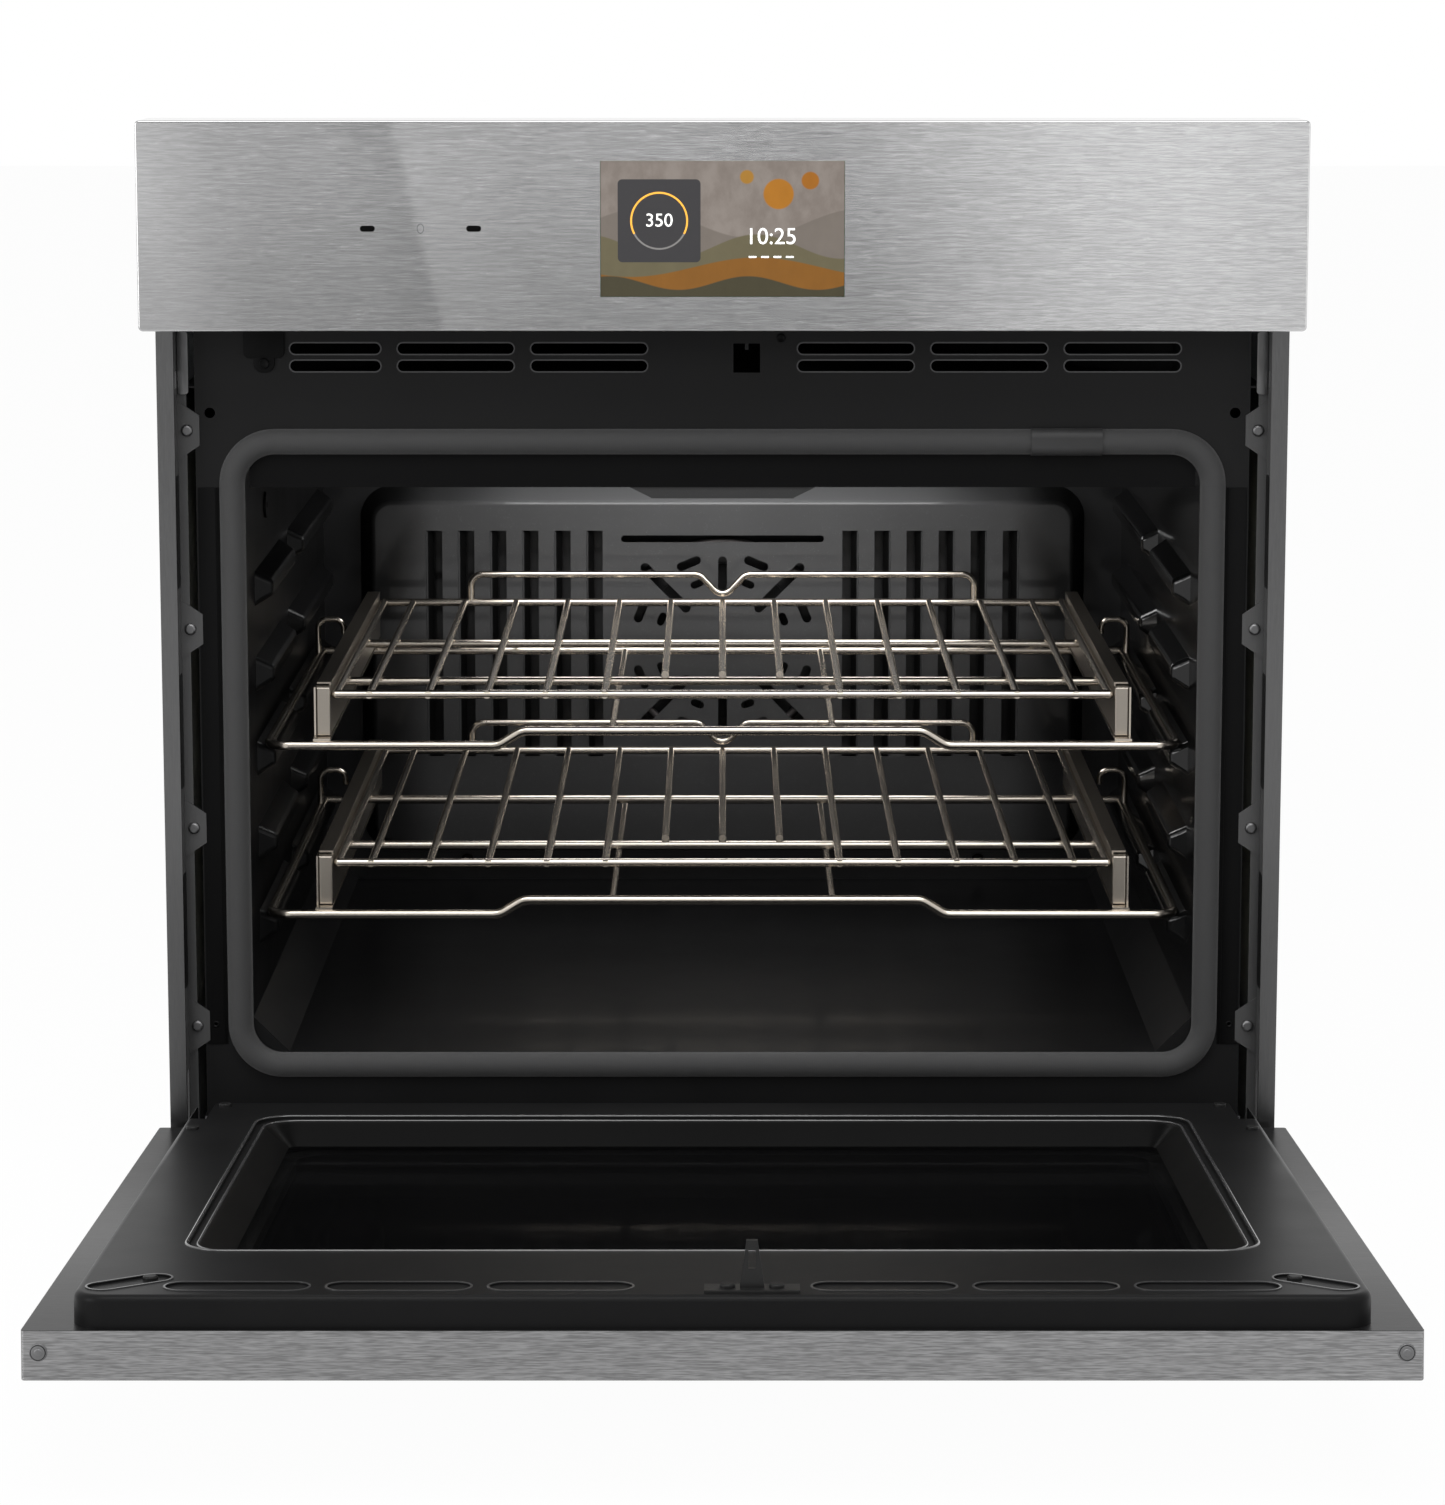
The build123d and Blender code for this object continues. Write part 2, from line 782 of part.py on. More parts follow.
def cover_shell(inset):
    """Outside or inside of the cover as a tapered pan standing on the rear wall."""
    height = cover_top - cover_bottom - 2 * inset
    sketch = Pos(0, (cover_top + cover_bottom) / 2) * RectangleRounded(
        cover_width - 2 * inset, height, cover_corner - inset)
    plane = Plane(origin=(0, cavity_rear, 0), x_dir=(1, 0, 0), z_dir=(0, -1, 0))
    pan = extrude(plane * sketch, amount=cover_depth - inset, taper=cover_slope)
    return fillet(pan.faces().sort_by(Axis.Y)[0].edges(), cover_round - inset)


def make_convection_cover():
    cover = cover_shell(0) - cover_shell(cover_sheet)
    cut = 3 * cover_sheet
    cover -= front_plate(cover_slots(), cover_face - cover_sheet, cut)
    flap_depth = louvre_width * math.sin(math.radians(louvre_angle))
    for x in louvre_places():
        for side in (-1, 1):
            cover -= front_plate(Pos(side * x, fan_z) * Rectangle(louvre_width, louvre_height),
                                 cover_face - cover_sheet, cut)
            edge = Pos(side * (x + louvre_width / 2), cover_face + cover_sheet / 2, fan_z)
            flap = Pos(0, flap_depth / 2, 0) * Box(cover_sheet, flap_depth, louvre_height)
            cover += edge * Rot(0, 0, side * louvre_angle) * flap
    return cover


def make_convection_fan():
    front = fan_back - fan_disc - fan_blade_depth
    fan = rod_y(0, (fan_back - fan_disc, fan_back), fan_z, fan_radius)
    fan += rod_y(0, (front, fan_back), fan_z, fan_hub_radius)
    fan += rod_y(0, (front, cavity_rear + fan_shaft_length), fan_z, fan_shaft_radius)
    blade_length = fan_radius - fan_hub_radius
    for index in range(fan_blade_count):
        blade = Pos(fan_radius - blade_length / 2 - fan_disc, front + fan_blade_depth / 2, 0)
        blade *= Box(blade_length, fan_blade_depth, 2 * fan_disc)
        fan += Pos(0, 0, fan_z) * Rot(0, index * 360 / fan_blade_count, 0) * blade
    return fan


def make_fan_motor():
    span = pair(cavity_rear + cavity_sheet, motor_length)
    motor = rod_y(0, span, fan_z, motor_radius)
    return motor - rod_y(0, span, fan_z, fan_shaft_radius + shaft_clearance)


def ring_leg_z():
    return fan_z - math.sqrt(ring_radius ** 2 - ring_leg_x ** 2)


def make_ring_element():
    """Open ring round the fan with two legs through the rear wall."""
    y = cavity_rear - ring_set_off
    start = math.degrees(math.acos(ring_leg_x / ring_radius))
    plane = Plane(origin=(0, y, fan_z), x_dir=(1, 0, 0), z_dir=(0, -1, 0))
    arc = plane * CenterArc((0, 0), ring_radius, -start, 180 + 2 * start)
    ring = sweep(Plane(origin=arc @ 0, z_dir=arc % 0) * Circle(element_radius), path=arc)
    for side in (-1, 1):
        end = (side * ring_leg_x, y, ring_leg_z())
        ring += Pos(*end) * Sphere(element_radius)
        ring += rod_y(end[0], (y, cavity_rear + cavity_sheet + element_leg), end[2], element_radius)
    return ring


# Lamp
def make_lamp_holder():
    place = Pos(lamp_x, lamp_y, cavity_ceiling + lamp_cup_height / 2)
    cup = place * Cylinder(lamp_radius, lamp_cup_height)
    return cup - Pos(0, 0, -lamp_wall) * place * Cylinder(lamp_radius - lamp_wall, lamp_cup_height)


def make_lamp_bulb():
    top = cavity_ceiling + lamp_cup_height - lamp_wall
    y = lamp_y
    return rod((lamp_x, y, top), (lamp_x, y, cavity_ceiling + lamp_wall), bulb_radius)


def make_lamp_lens():
    place = Pos(lamp_x, lamp_y, cavity_ceiling - lamp_lens_height / 2)
    lens = place * Cylinder(lamp_radius + lamp_lens_rim, lamp_lens_height)
    return fillet(lens.faces().sort_by(Axis.Z)[0].edges(), lamp_lens_height / 2)


# Insulation, service shelf, blower and boards
def make_insulation():
    front = frame_back + case_sheet
    back = cavity_rear + cavity_sheet + element_leg
    outside = cavity_half + cavity_sheet
    side_top = fixing_z - 4 * fixing_radius
    side_face = frame_half_width - blanket_inset
    side = block((outside, side_face), (front, back), (floor_z + floor_chamfer, side_top))
    right, left = both_sides(side)
    left -= rod_x((-side_inner, 0), frame_back + probe_y, probe_z, probe_radius)
    top = block((-cavity_half, cavity_half), (front, back), (cavity_ceiling + cavity_sheet, shelf_z))
    lamp = Cylinder(lamp_radius + lamp_lens_rim, shelf_z)
    top -= Pos(lamp_x, lamp_y, shelf_z) * lamp
    bottom_half = hinge_x - arm_thickness - 3 * receiver_wall
    bottom = block((-bottom_half, bottom_half), (front, back), (pan_sheet, insulation_bottom))
    rear = block((-bottom_half, bottom_half), (back, rear_y - case_sheet), (pan_sheet, shelf_z))
    rear -= rod_y(0, (cavity_rear, rear_y), fan_z, motor_radius + seat_gap)
    return [right, left, top, bottom, rear]


def make_service_shelf():
    return block((-side_inner, side_inner), (frame_back, rear_y - case_sheet), pair(shelf_z, case_sheet))


def duct_solid(inset, height):
    """Round blower chamber and the duct that spreads to the front vents."""
    half = duct_half_width - inset
    radius = blower_radius - inset
    spread = frame_back + duct_straight
    outline = Polyline((half, frame_back), (half, spread), (radius, blower_centre), (-radius, blower_centre),
                       (-half, spread), (-half, frame_back), close=True)
    sketch = make_face(outline) + Pos(0, blower_centre) * Circle(radius)
    return extrude(Plane.XY.offset(shelf_top) * sketch, amount=height)


def make_blower_housing():
    housing = duct_solid(0, duct_height) - duct_solid(case_sheet, duct_height - case_sheet)
    top = shelf_top + duct_height
    housing -= Pos(0, blower_centre, top) * Cylinder(wheel_shaft_radius + 2 * seat_gap, 4 * case_sheet)
    for place in PolarLocations(inlet_ring, inlet_count):
        housing -= Pos(0, blower_centre, top) * place * Cylinder(inlet_radius, 4 * case_sheet)
    return housing


def make_blower_wheel():
    bottom = shelf_top + wheel_lift
    centre = Pos(0, blower_centre, 0)
    wheel = Cylinder(wheel_radius, case_sheet, align=(Align.CENTER, Align.CENTER, Align.MIN))
    ring = wheel - Cylinder(wheel_radius - wheel_ring_width, 4 * case_sheet)
    wheel += Pos(0, 0, wheel_height - case_sheet) * ring
    for place in PolarLocations(wheel_radius - wheel_ring_width / 2, wheel_blades):
        wheel += place * Pos(0, 0, wheel_height / 2) * Box(wheel_blade_width, case_sheet, wheel_height)
    shaft_top = shelf_top + duct_height + blower_motor_height - wheel_lift
    shaft = rod((0, 0, 0), (0, 0, shaft_top - bottom), wheel_shaft_radius)
    return centre * Pos(0, 0, bottom) * (wheel + shaft)


def make_blower_motor():
    base = shelf_top + duct_height
    motor = rod((0, blower_centre, base), (0, blower_centre, base + blower_motor_height), blower_motor_radius)
    depth = blower_motor_height - wheel_lift + wheel_shaft_radius
    return motor - rod((0, blower_centre, base), (0, blower_centre, base + depth),
                       wheel_shaft_radius + shaft_clearance)


def make_power_board():
    y = power_board_y
    base = shelf_top + power_standoff
    board = block(power_board_x, y, pair(base, board_thickness))
    for x in (power_board_x[0] + board_margin, power_board_x[1] - board_margin):
        for place_y in (y[0] + board_margin, y[1] - board_margin):
            board += rod((x, place_y, shelf_top), (x, place_y, base), standoff_radius)
    relay = Box(*relay_size, align=(Align.CENTER, Align.CENTER, Align.MIN))
    middle = Pos(sum(power_board_x) / 2, sum(y) / 2, base + board_thickness)
    for place in GridLocations(*relay_pitch, *relay_rows):
        board += middle * place * relay
    return board


# Control panel
def screen_pocket(grow):
    return Pos(0, screen_z) * Rectangle(screen_width + 2 * grow, screen_height + 2 * grow)


def make_control_panel():
    depth = pair(panel_y, panel_depth)
    panel = block((-front_half, front_half), depth, (panel_bottom, overall_height))
    panel = fillet(panel.edges().filter_by(Axis.Y), panel_corner)
    panel = fillet(panel.faces().sort_by(Axis.Y)[0].edges(), panel_edge)
    inner = front_half - panel_sheet
    panel -= block((-inner, inner), (panel_y + panel_sheet, depth[1] + panel_sheet),
                   (panel_bottom + panel_sheet, overall_height - panel_sheet))
    return panel - front_plate(screen_pocket(seat_gap), panel_y - panel_sheet, 3 * panel_sheet)


def make_display_screen():
    return front_plate(screen_pocket(0), panel_y + screen_set_back, screen_thickness)


def make_control_board():
    front = panel_y + screen_set_back + screen_thickness
    board = front_plate(screen_pocket(board_margin), front, board_thickness)
    for x in around(0, screen_width + board_margin):
        for z in around(screen_z, screen_height + board_margin):
            board += rod((x, panel_y + panel_sheet, z), (x, front, z), standoff_radius)
    return board


def make_panel_bracket():
    """Upper front plate with tabs that hold the control panel by its folded edges."""
    plate = block((-side_inner, side_inner), (frame_y, frame_back), (frame_top, case_height - case_sheet))
    reach = (panel_y + panel_depth - bracket_tab_reach, frame_y)
    for x in around(0, 2 * (case_half - bracket_tab_inset)):
        low = pair(panel_bottom + panel_sheet, case_sheet)
        high = pair(overall_height - panel_sheet - case_sheet, case_sheet)
        wide = around(x, bracket_tab_width)
        plate += block(wide, reach, low) + block(wide, reach, high)
        plate += block(wide, (frame_y - case_sheet, frame_y), (low[0], high[1]))
    return plate


# Latch
def latch_pivot():
    return frame_back + latch_pivot_y


def make_latch_bracket():
    y = around(latch_pivot(), latch_ear_width)
    half = latch_ear_spacing / 2 + latch_ear
    bracket = block(around(latch_x, 2 * half), y, pair(shelf_top, latch_ear))
    for side in (-1, 1):
        x = latch_x + side * (half - latch_ear / 2)
        bracket += block(around(x, latch_ear), y, (shelf_top, latch_pivot_z + 2 * latch_pin_radius))
    bore = latch_pin_radius + shaft_clearance
    return bracket - rod_x(around(latch_x, 4 * half), latch_pivot(), latch_pivot_z, bore)


def make_latch_hook():
    """Hook that drops its finger through the door strike."""
    y = latch_pivot()
    pin = around(latch_x, latch_ear_spacing + 2 * latch_ear)
    hook = rod_x(pin, y, latch_pivot_z, latch_pin_radius)
    hook += rod_x(around(latch_x, hook_width), y, latch_pivot_z, hook_hub_radius)
    tip = y - hook_reach
    width = around(latch_x, hook_finger_width)
    hook += block(width, (tip - hook_finger_depth / 2, y), around(latch_pivot_z, hook_arm_height))
    finger = around(tip, hook_finger_depth)
    return hook + block(width, finger, (latch_pivot_z - hook_finger_drop, latch_pivot_z))


# Racks, built with the side wires of their frame at height zero
def make_rack_grid():
    rear = rack_rear
    z = grid_rise
    under = z - wire_radius - bar_radius + weld
    side = rack_side_x
    wide = (-side, side)
    grid = rod_x(wide, rack_front, z, bar_radius)
    grid += rod_x(wide, rear, z, bar_radius)
    for x in wide:
        grid += rod_y(x, (rack_front, rear), z, bar_radius)
        for y in (rack_front, rear):
            grid += Pos(x, y, z) * Sphere(bar_radius)
    for set_back in rack_bars:
        y = rack_front + set_back
        grid += rod_x(wide, y, under, bar_radius)
        for x in wide:
            grid += rod((x, y, under), (x, y, z), wire_radius)
    middle = (rack_wires - 1) // 2
    for index in range(rack_wires):
        x = (index - middle) * rack_pitch
        short = abs(index - middle) <= rack_cut_wires // 2
        start = rack_front + (rack_bars[0] if short else 0)
        grid += rod_y(x, (start - wire_radius, rear), z, wire_radius)
    top = z + guard_rise
    left = [(-guard_half, rear, z), (-guard_half, rear, top), (-guard_dip_half, rear, top)]
    right = [(-x, y, height) for x, y, height in reversed(left)]
    return grid + bent_wire(left + [(0, rear, z + bar_radius)] + right, wire_radius, guard_bend)


def make_rack_frame():
    """Wire loop, then the rear hooks, thin rods and fixed rails that are spot-welded on it."""
    side = support_side_x
    front = support_front
    rear = support_rear
    step = support_step_x
    top = support_step_rise
    run = support_step_run
    points = [(-side, rear, 0), (-side, front, 0), (-step, front, 0), (-step + run, front, top),
              (step - run, front, top), (step, front, 0), (side, front, 0), (side, rear, 0)]
    frame = bent_wire(points, frame_wire_radius, support_bend)
    frame += rod_x((-side, side), rear, 0, frame_wire_radius)
    for corner in both_sides(Pos(side, rear, 0) * Sphere(frame_wire_radius)):
        frame += corner
    hook_y = rear - hook_ahead
    foot = frame_wire_radius + weld_gap
    hook = bent_wire([(side, hook_y, foot), (side, hook_y, hook_rise), (side - hook_in, hook_y, hook_rise),
                      (side - hook_in, hook_y, hook_rise - hook_fall)], thin_wire_radius, hook_bend)
    thin = rod((support_rod_x, front + foot, top), (support_rod_x, rear - foot, 0), thin_wire_radius)
    return [frame] + both_sides(hook) + both_sides(thin) + both_sides(make_rail_channel())


def rail_base():
    return frame_wire_radius + weld_gap


def make_rail_channel():
    """Right-hand fixed rail: web, floor and top lip, lying on the frame wires."""
    bottom = rail_base()
    web = (rail_half_outer - rail_sheet, rail_half_outer)
    inner = rail_half_outer - rail_width
    rear = rack_rear
    rail = block(web, (rack_front - rail_cap, rear), pair(bottom, rail_height))
    rail += block((inner, rail_half_outer), (support_front, rear), pair(bottom, rail_sheet))
    top = bottom + rail_height - rail_sheet
    return rail + block((rail_half_outer - rail_lip, rail_half_outer), (rack_front + 2 * seat_gap, rear),
                        pair(top, rail_sheet))


def make_rack_rails():
    """Sliding bars with their end caps and the plates that lie over the fixed rails."""
    bottom = rail_base() + rail_sheet
    top = rail_base() + rail_height
    inner = rack_side_x + bar_radius
    outer = rail_half_outer - rail_sheet - seat_gap
    y = (rack_front + seat_gap, rack_rear)
    bar = block((inner, outer - rail_play), y, (bottom + rail_play, top - rail_sheet - rail_play))
    plate_top = top + rail_play + rail_sheet
    cap_y = (rack_front - rail_cap, rack_front + seat_gap)
    cap = block((inner, outer), cap_y, (bottom + seat_gap, top))
    cap = fillet(cap.faces().sort_by(Axis.Y)[0].edges(), rail_sheet)
    web = block((inner, inner + rail_sheet), y, (bottom + rail_play, plate_top))
    plate = block((inner, outer), y, (plate_top - rail_sheet, plate_top))
    return both_sides(bar + cap + web + plate)


# Door, built closed
def door_y(set_back):
    return panel_y + set_back


def hinge_slot(grow=0.0):
    """Room for a hinge arm through the door's lower edge."""
    width = arm_thickness + 2 * hinge_side_gap + 2 * grow
    return block(around(hinge_x, width), (door_y(tray_sheet), door_y(tray_depth + liner_rise + tray_sheet)),
                 (door_bottom - tray_sheet, liner_bottom + hinge_notch_height))


def make_door_tray():
    tray = block((-front_half, front_half), (panel_y, door_y(tray_depth)), (door_bottom, door_top))
    tray = fillet(tray.edges().filter_by(Axis.Y), tray_corner)
    tray = fillet(tray.faces().sort_by(Axis.Y)[0].edges(), tray_corner / 2)
    inner = front_half - tray_sheet
    tray -= block((-inner, inner), (door_y(tray_sheet), door_y(tray_depth - tray_sheet)),
                  (door_bottom + tray_sheet, door_top - tray_sheet))
    opening = front_half - tray_rim
    tray -= block((-opening, opening), (door_y(tray_depth / 2), door_y(tray_depth + tray_sheet)),
                  (door_bottom + tray_rim_top, door_top - tray_rim_top))
    middle = (door_bottom + door_top) / 2 - outer_window_lift
    window = Pos(0, middle) * RectangleRounded(outer_window_width, outer_window_height, window_corner)
    tray -= front_plate(window, panel_y - tray_sheet, 3 * tray_sheet)
    for slot in both_sides(hinge_slot()):
        tray -= slot
    y = door_y(edge_screw_set_back)
    for x in edge_screw_places():
        tray -= rod((x, y, door_top - 2 * tray_sheet), (x, y, door_top + tray_sheet), door_screw_radius / 2)
    return tray


def window_sketch(inset):
    """Outline of the door window, drawn in by inset."""
    bottom = liner_bottom + window_bottom_edge
    return Pos(0, bottom + window_height / 2) * RectangleRounded(
        window_width - 2 * inset, window_height - 2 * inset, window_corner)


def make_door_liner():
    """Pressed inner door panel with a stepped window funnel and embossed top slots."""
    back = door_y(tray_depth)
    middle = (liner_bottom + liner_top) / 2
    height = liner_top - liner_bottom
    outline = Pos(0, middle) * RectangleRounded(2 * liner_half_width, height, liner_corner)
    liner = front_plate(outline, back, liner_rise)
    liner = fillet(liner.faces().sort_by(Axis.Y)[-1].edges(), liner_round)
    hollow = Pos(0, middle) * RectangleRounded(2 * (liner_half_width - liner_sheet), height - 2 * liner_sheet,
                                               liner_corner - liner_sheet)
    liner -= front_plate(hollow - window_sketch(-liner_sheet), back, liner_rise - liner_sheet)
    liner -= front_plate(window_sketch(-liner_sheet), back, funnel_floor)
    liner -= front_plate(window_sketch(0), liner_face - window_step, 2 * window_step)
    depth = liner_rise - window_step - funnel_floor
    slope = math.degrees(math.atan(window_slope_run / depth))
    funnel = Plane(origin=(0, liner_face - window_step, 0), x_dir=(1, 0, 0), z_dir=(0, -1, 0))
    liner -= extrude(funnel * window_sketch(window_step_width), amount=depth, taper=slope)
    for index in range(emboss_count):
        for side in (-1, 1):
            slot = Pos(side * (index + 1) * emboss_pitch, liner_top - emboss_edge) * SlotOverall(
                emboss_length, emboss_width)
            liner -= front_plate(slot, liner_face - emboss_depth, 2 * emboss_depth)
    for slot in both_sides(hinge_slot((hinge_notch_width - arm_thickness) / 2 - hinge_side_gap)):
        liner -= slot
    for side in (-1, 1):
        centre = Pos(side * (liner_half_width - corner_recess[0]), liner_top - corner_recess[1])
        recess = SlotOverall(corner_recess_length, corner_recess_width)
        turn = Rot(0, 0, side * corner_recess_angle)
        liner -= front_plate(centre * turn * recess, liner_face - emboss_depth, 2 * emboss_depth)
    for x, z, seat in liner_screw_places():
        liner -= rod_y(x, (seat - 3 * liner_sheet, seat + liner_sheet), z, door_screw_radius / 2)
    return liner


def liner_screw_places():
    """X, Z and seat of the screws: two at each hinge, one in each corner recess, two in the strike plate."""
    places = []
    for side in (-1, 1):
        for inset, lift in liner_screws:
            places.append((side * (liner_half_width - inset), liner_bottom + lift, liner_face))
        places.append((side * (liner_half_width - corner_screw[0]), liner_top - corner_screw[1],
                       liner_face - emboss_depth))
        places.append((latch_x + side * strike_screw_spacing / 2, latch_z, liner_face + strike_plate))
    return places


def edge_screw_places():
    """X of the two screws in the tray's top edge."""
    return around(0, front_width - 2 * edge_screw_inset)


def glass_sketch(inset=0.0):
    return window_sketch(window_step_width + window_slope_run - glass_lap + inset)


def inner_glass_back():
    return door_y(tray_depth + funnel_floor)


def make_inner_glass():
    return front_plate(glass_sketch(), inner_glass_back() - glass_thickness, glass_thickness)


def make_outer_glass():
    return front_plate(glass_sketch(), door_y(tray_sheet), glass_thickness)


def middle_glass_front():
    low = door_y(tray_sheet) + glass_thickness
    high = inner_glass_back() - glass_thickness
    return (low + high - glass_thickness) / 2


def make_middle_glass():
    return front_plate(glass_sketch(glass_frame_width / 2), middle_glass_front(), glass_thickness)


def make_glass_frame():
    """Spacer frame between the outer and inner panes, grooved for the middle pane."""
    low = door_y(tray_sheet) + glass_thickness
    high = inner_glass_back() - glass_thickness
    frame = front_plate(glass_sketch() - glass_sketch(glass_frame_width), low, high - low)
    return frame - front_plate(glass_sketch(glass_frame_width / 2), middle_glass_front(), glass_thickness)


def make_door_strike():
    """Pierced tongue on a screwed plate, which the latch hook enters."""
    plate = block(around(latch_x, strike_plate_width), pair(liner_face, strike_plate),
                  around(latch_z, strike_plate_height))
    outline = Polyline((latch_x - strike_base / 2, liner_face), (latch_x + strike_base / 2, liner_face),
                       (latch_x + strike_tip / 2, liner_face + strike_height),
                       (latch_x - strike_tip / 2, liner_face + strike_height), close=True)
    bottom = latch_z - strike_thickness / 2
    tongue = extrude(Plane.XY.offset(bottom) * make_face(outline), amount=strike_thickness)
    along = (liner_face + strike_hole[0], liner_face + strike_hole[1])
    hole = block(around(latch_x, strike_hole_width), along, around(latch_z, 2 * strike_thickness))
    strike = plate + tongue - hole
    through = (liner_face - strike_plate, liner_face + 2 * strike_plate)
    for x in around(latch_x, strike_screw_spacing):
        strike -= rod_y(x, through, latch_z, door_screw_radius / 2)
    return strike


def make_door_screws():
    shank = door_screw_radius / 2 - seat_gap
    screws = []
    for x, z, seat in liner_screw_places():
        head = rod_y(x, pair(seat, door_screw_height), z, door_screw_radius)
        head = fillet(head.faces().sort_by(Axis.Y)[-1].edges(), door_screw_height / 2)
        screws.append(head + rod_y(x, (seat - 3 * liner_sheet, seat + liner_sheet / 2), z, shank))
    y = door_y(edge_screw_set_back)
    for x in edge_screw_places():
        head = rod((x, y, door_top), (x, y, door_top + edge_screw_height), door_screw_radius)
        screws.append(head + rod((x, y, door_top - 3 * tray_sheet), (x, y, door_top + tray_sheet / 2), shank))
    return screws


# Hinges
def make_hinge_pin():
    half = arm_thickness / 2 + hinge_side_gap + cheek
    return rod_x(around(hinge_x, 2 * half), axis_y, axis_height, hinge_pin_radius)


def make_hinge_channel():
    """Door-side channel whose two cheeks hold the pin."""
    half = arm_thickness / 2 + hinge_side_gap + cheek
    z = pair(door_bottom + tray_sheet + seat_gap, channel_height)
    y = pair(door_y(tray_sheet), channel_depth)
    channel = block(around(hinge_x, 2 * half), y, z)
    channel -= block(around(hinge_x, 2 * (half - cheek)), (y[0] + channel_base, y[1] + channel_base),
                     (z[0] - cheek, z[1] + cheek))
    bore = hinge_pin_radius + shaft_clearance / 2
    return channel - rod_x(around(hinge_x, 4 * half), axis_y, axis_height, bore)


def make_hinge_arm():
    """Arm fixed in the case, with the round nose that turns on the pin."""
    x = around(hinge_x, arm_thickness)
    arm = block(x, (axis_y, axis_y + arm_length), around(axis_height, 2 * arm_half_height))
    arm += rod_x(x, axis_y, axis_height, arm_half_height)
    bore = hinge_pin_radius + shaft_clearance
    return arm - rod_x((x[0] - cheek, x[1] + cheek), axis_y, axis_height, bore)


def make_hinge_receiver():
    """Upright socket on the base pan that the arm lies in."""
    half = arm_thickness / 2 + seat_gap
    seat = axis_height - arm_half_height
    y = pair(frame_back, receiver_length)
    top = seat + 2 * arm_half_height + receiver_rise
    receiver = block(around(hinge_x, 2 * (half + receiver_wall)), y, (pan_sheet, top))
    return receiver - block(around(hinge_x, 2 * half), (y[0] - seat_gap, y[1] + seat_gap),
                            pair(seat, 2 * arm_half_height + 2 * receiver_rise))


# Nodes fixed to the case
save("base_pan", make_base_pan())
right_panel, left_panel = both_sides(make_side_panel())
save("right_side_panel", right_panel)
save("left_side_panel", left_panel)
save("top_cover", make_top_cover())
save("rear_panel", make_rear_panel())
save("case_screws", make_case_screws())
save("conduit_gland", make_conduit_gland())
save("front_frame", make_front_frame())
right_trim, left_trim = both_sides(make_side_trim())
save("right_side_trim", right_trim)
save("left_side_trim", left_trim)
save("trim_rivets", make_trim_rivets())
save("bottom_trim", make_bottom_trim())
save("door_gasket", gasket_ring())
save("gasket_sleeve", make_gasket_sleeve())
save("cavity_right_wall", make_cavity_wall())
save("cavity_left_wall", make_left_wall())
save("cavity_floor", make_cavity_floor())
save("cavity_ceiling", make_cavity_ceiling())
save("cavity_rear_wall", make_rear_wall())
save("top_valance", make_valance())
save("probe_jack", make_probe_jack())
save("temperature_sensor", make_temperature_sensor())
save("convection_cover", make_convection_cover())
save("fan_motor", make_fan_motor())
save("ring_element", make_ring_element())
save("broil_element", make_element(broil_z()))
save("bake_element", make_element(floor_z - cavity_sheet - seat_gap - element_radius))
save("lamp_holder", make_lamp_holder())
save("lamp_bulb", make_lamp_bulb())
save("lamp_lens", make_lamp_lens())
save("insulation", make_insulation())
save("service_shelf", make_service_shelf())
save("blower_housing", make_blower_housing())
save("blower_motor", make_blower_motor())
save("power_board", make_power_board())
save("control_panel", make_control_panel())
save("display_screen", make_display_screen())
save("control_board", make_control_board())
save("panel_bracket", make_panel_bracket())
save("latch_bracket", make_latch_bracket())
save("hinge_arms", both_sides(make_hinge_arm()))
save("hinge_receivers", both_sides(make_hinge_receiver()))

# Nodes that turn in the case
save("convection_fan", make_convection_fan())
save("blower_wheel", make_blower_wheel())
save("latch_hook", make_latch_hook())

# Racks at their two levels
rack_frame = make_rack_frame()
rack_grid = make_rack_grid()
rack_rails = make_rack_rails()
rack_lifts = {name: Pos(0, 0, level_z(level)) for name, level in rack_levels.items()}
save("rack_frames", [lift * piece for lift in rack_lifts.values() for piece in rack_frame])
for name, lift in rack_lifts.items():
    save(f"{name}_rack_grid", lift * rack_grid)
    save(f"{name}_rack_rails", [lift * rail for rail in rack_rails])

# Nodes of the door
save("door_tray", opened(make_door_tray()))
save("door_liner", opened(make_door_liner()))
save("inner_glass", opened(make_inner_glass()))
save("middle_glass", opened(make_middle_glass()))
save("outer_glass", opened(make_outer_glass()))
save("glass_frame", opened(make_glass_frame()))
save("door_strike", opened(make_door_strike()))
save("door_screws", [opened(screw) for screw in make_door_screws()])
save("hinge_channels", [opened(channel) for channel in both_sides(make_hinge_channel())])
save("hinge_pins", [opened(pin) for pin in both_sides(make_hinge_pin())])
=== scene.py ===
"""Finishes, small fittings and studio for a built-in wall oven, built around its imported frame."""
import math

import bmesh
import bpy
from bpy.props import FloatProperty, FloatVectorProperty, IntProperty, PointerProperty, StringProperty
from bpy.types import Operator, Panel, PropertyGroup
from mathutils import Euler, Matrix, Vector


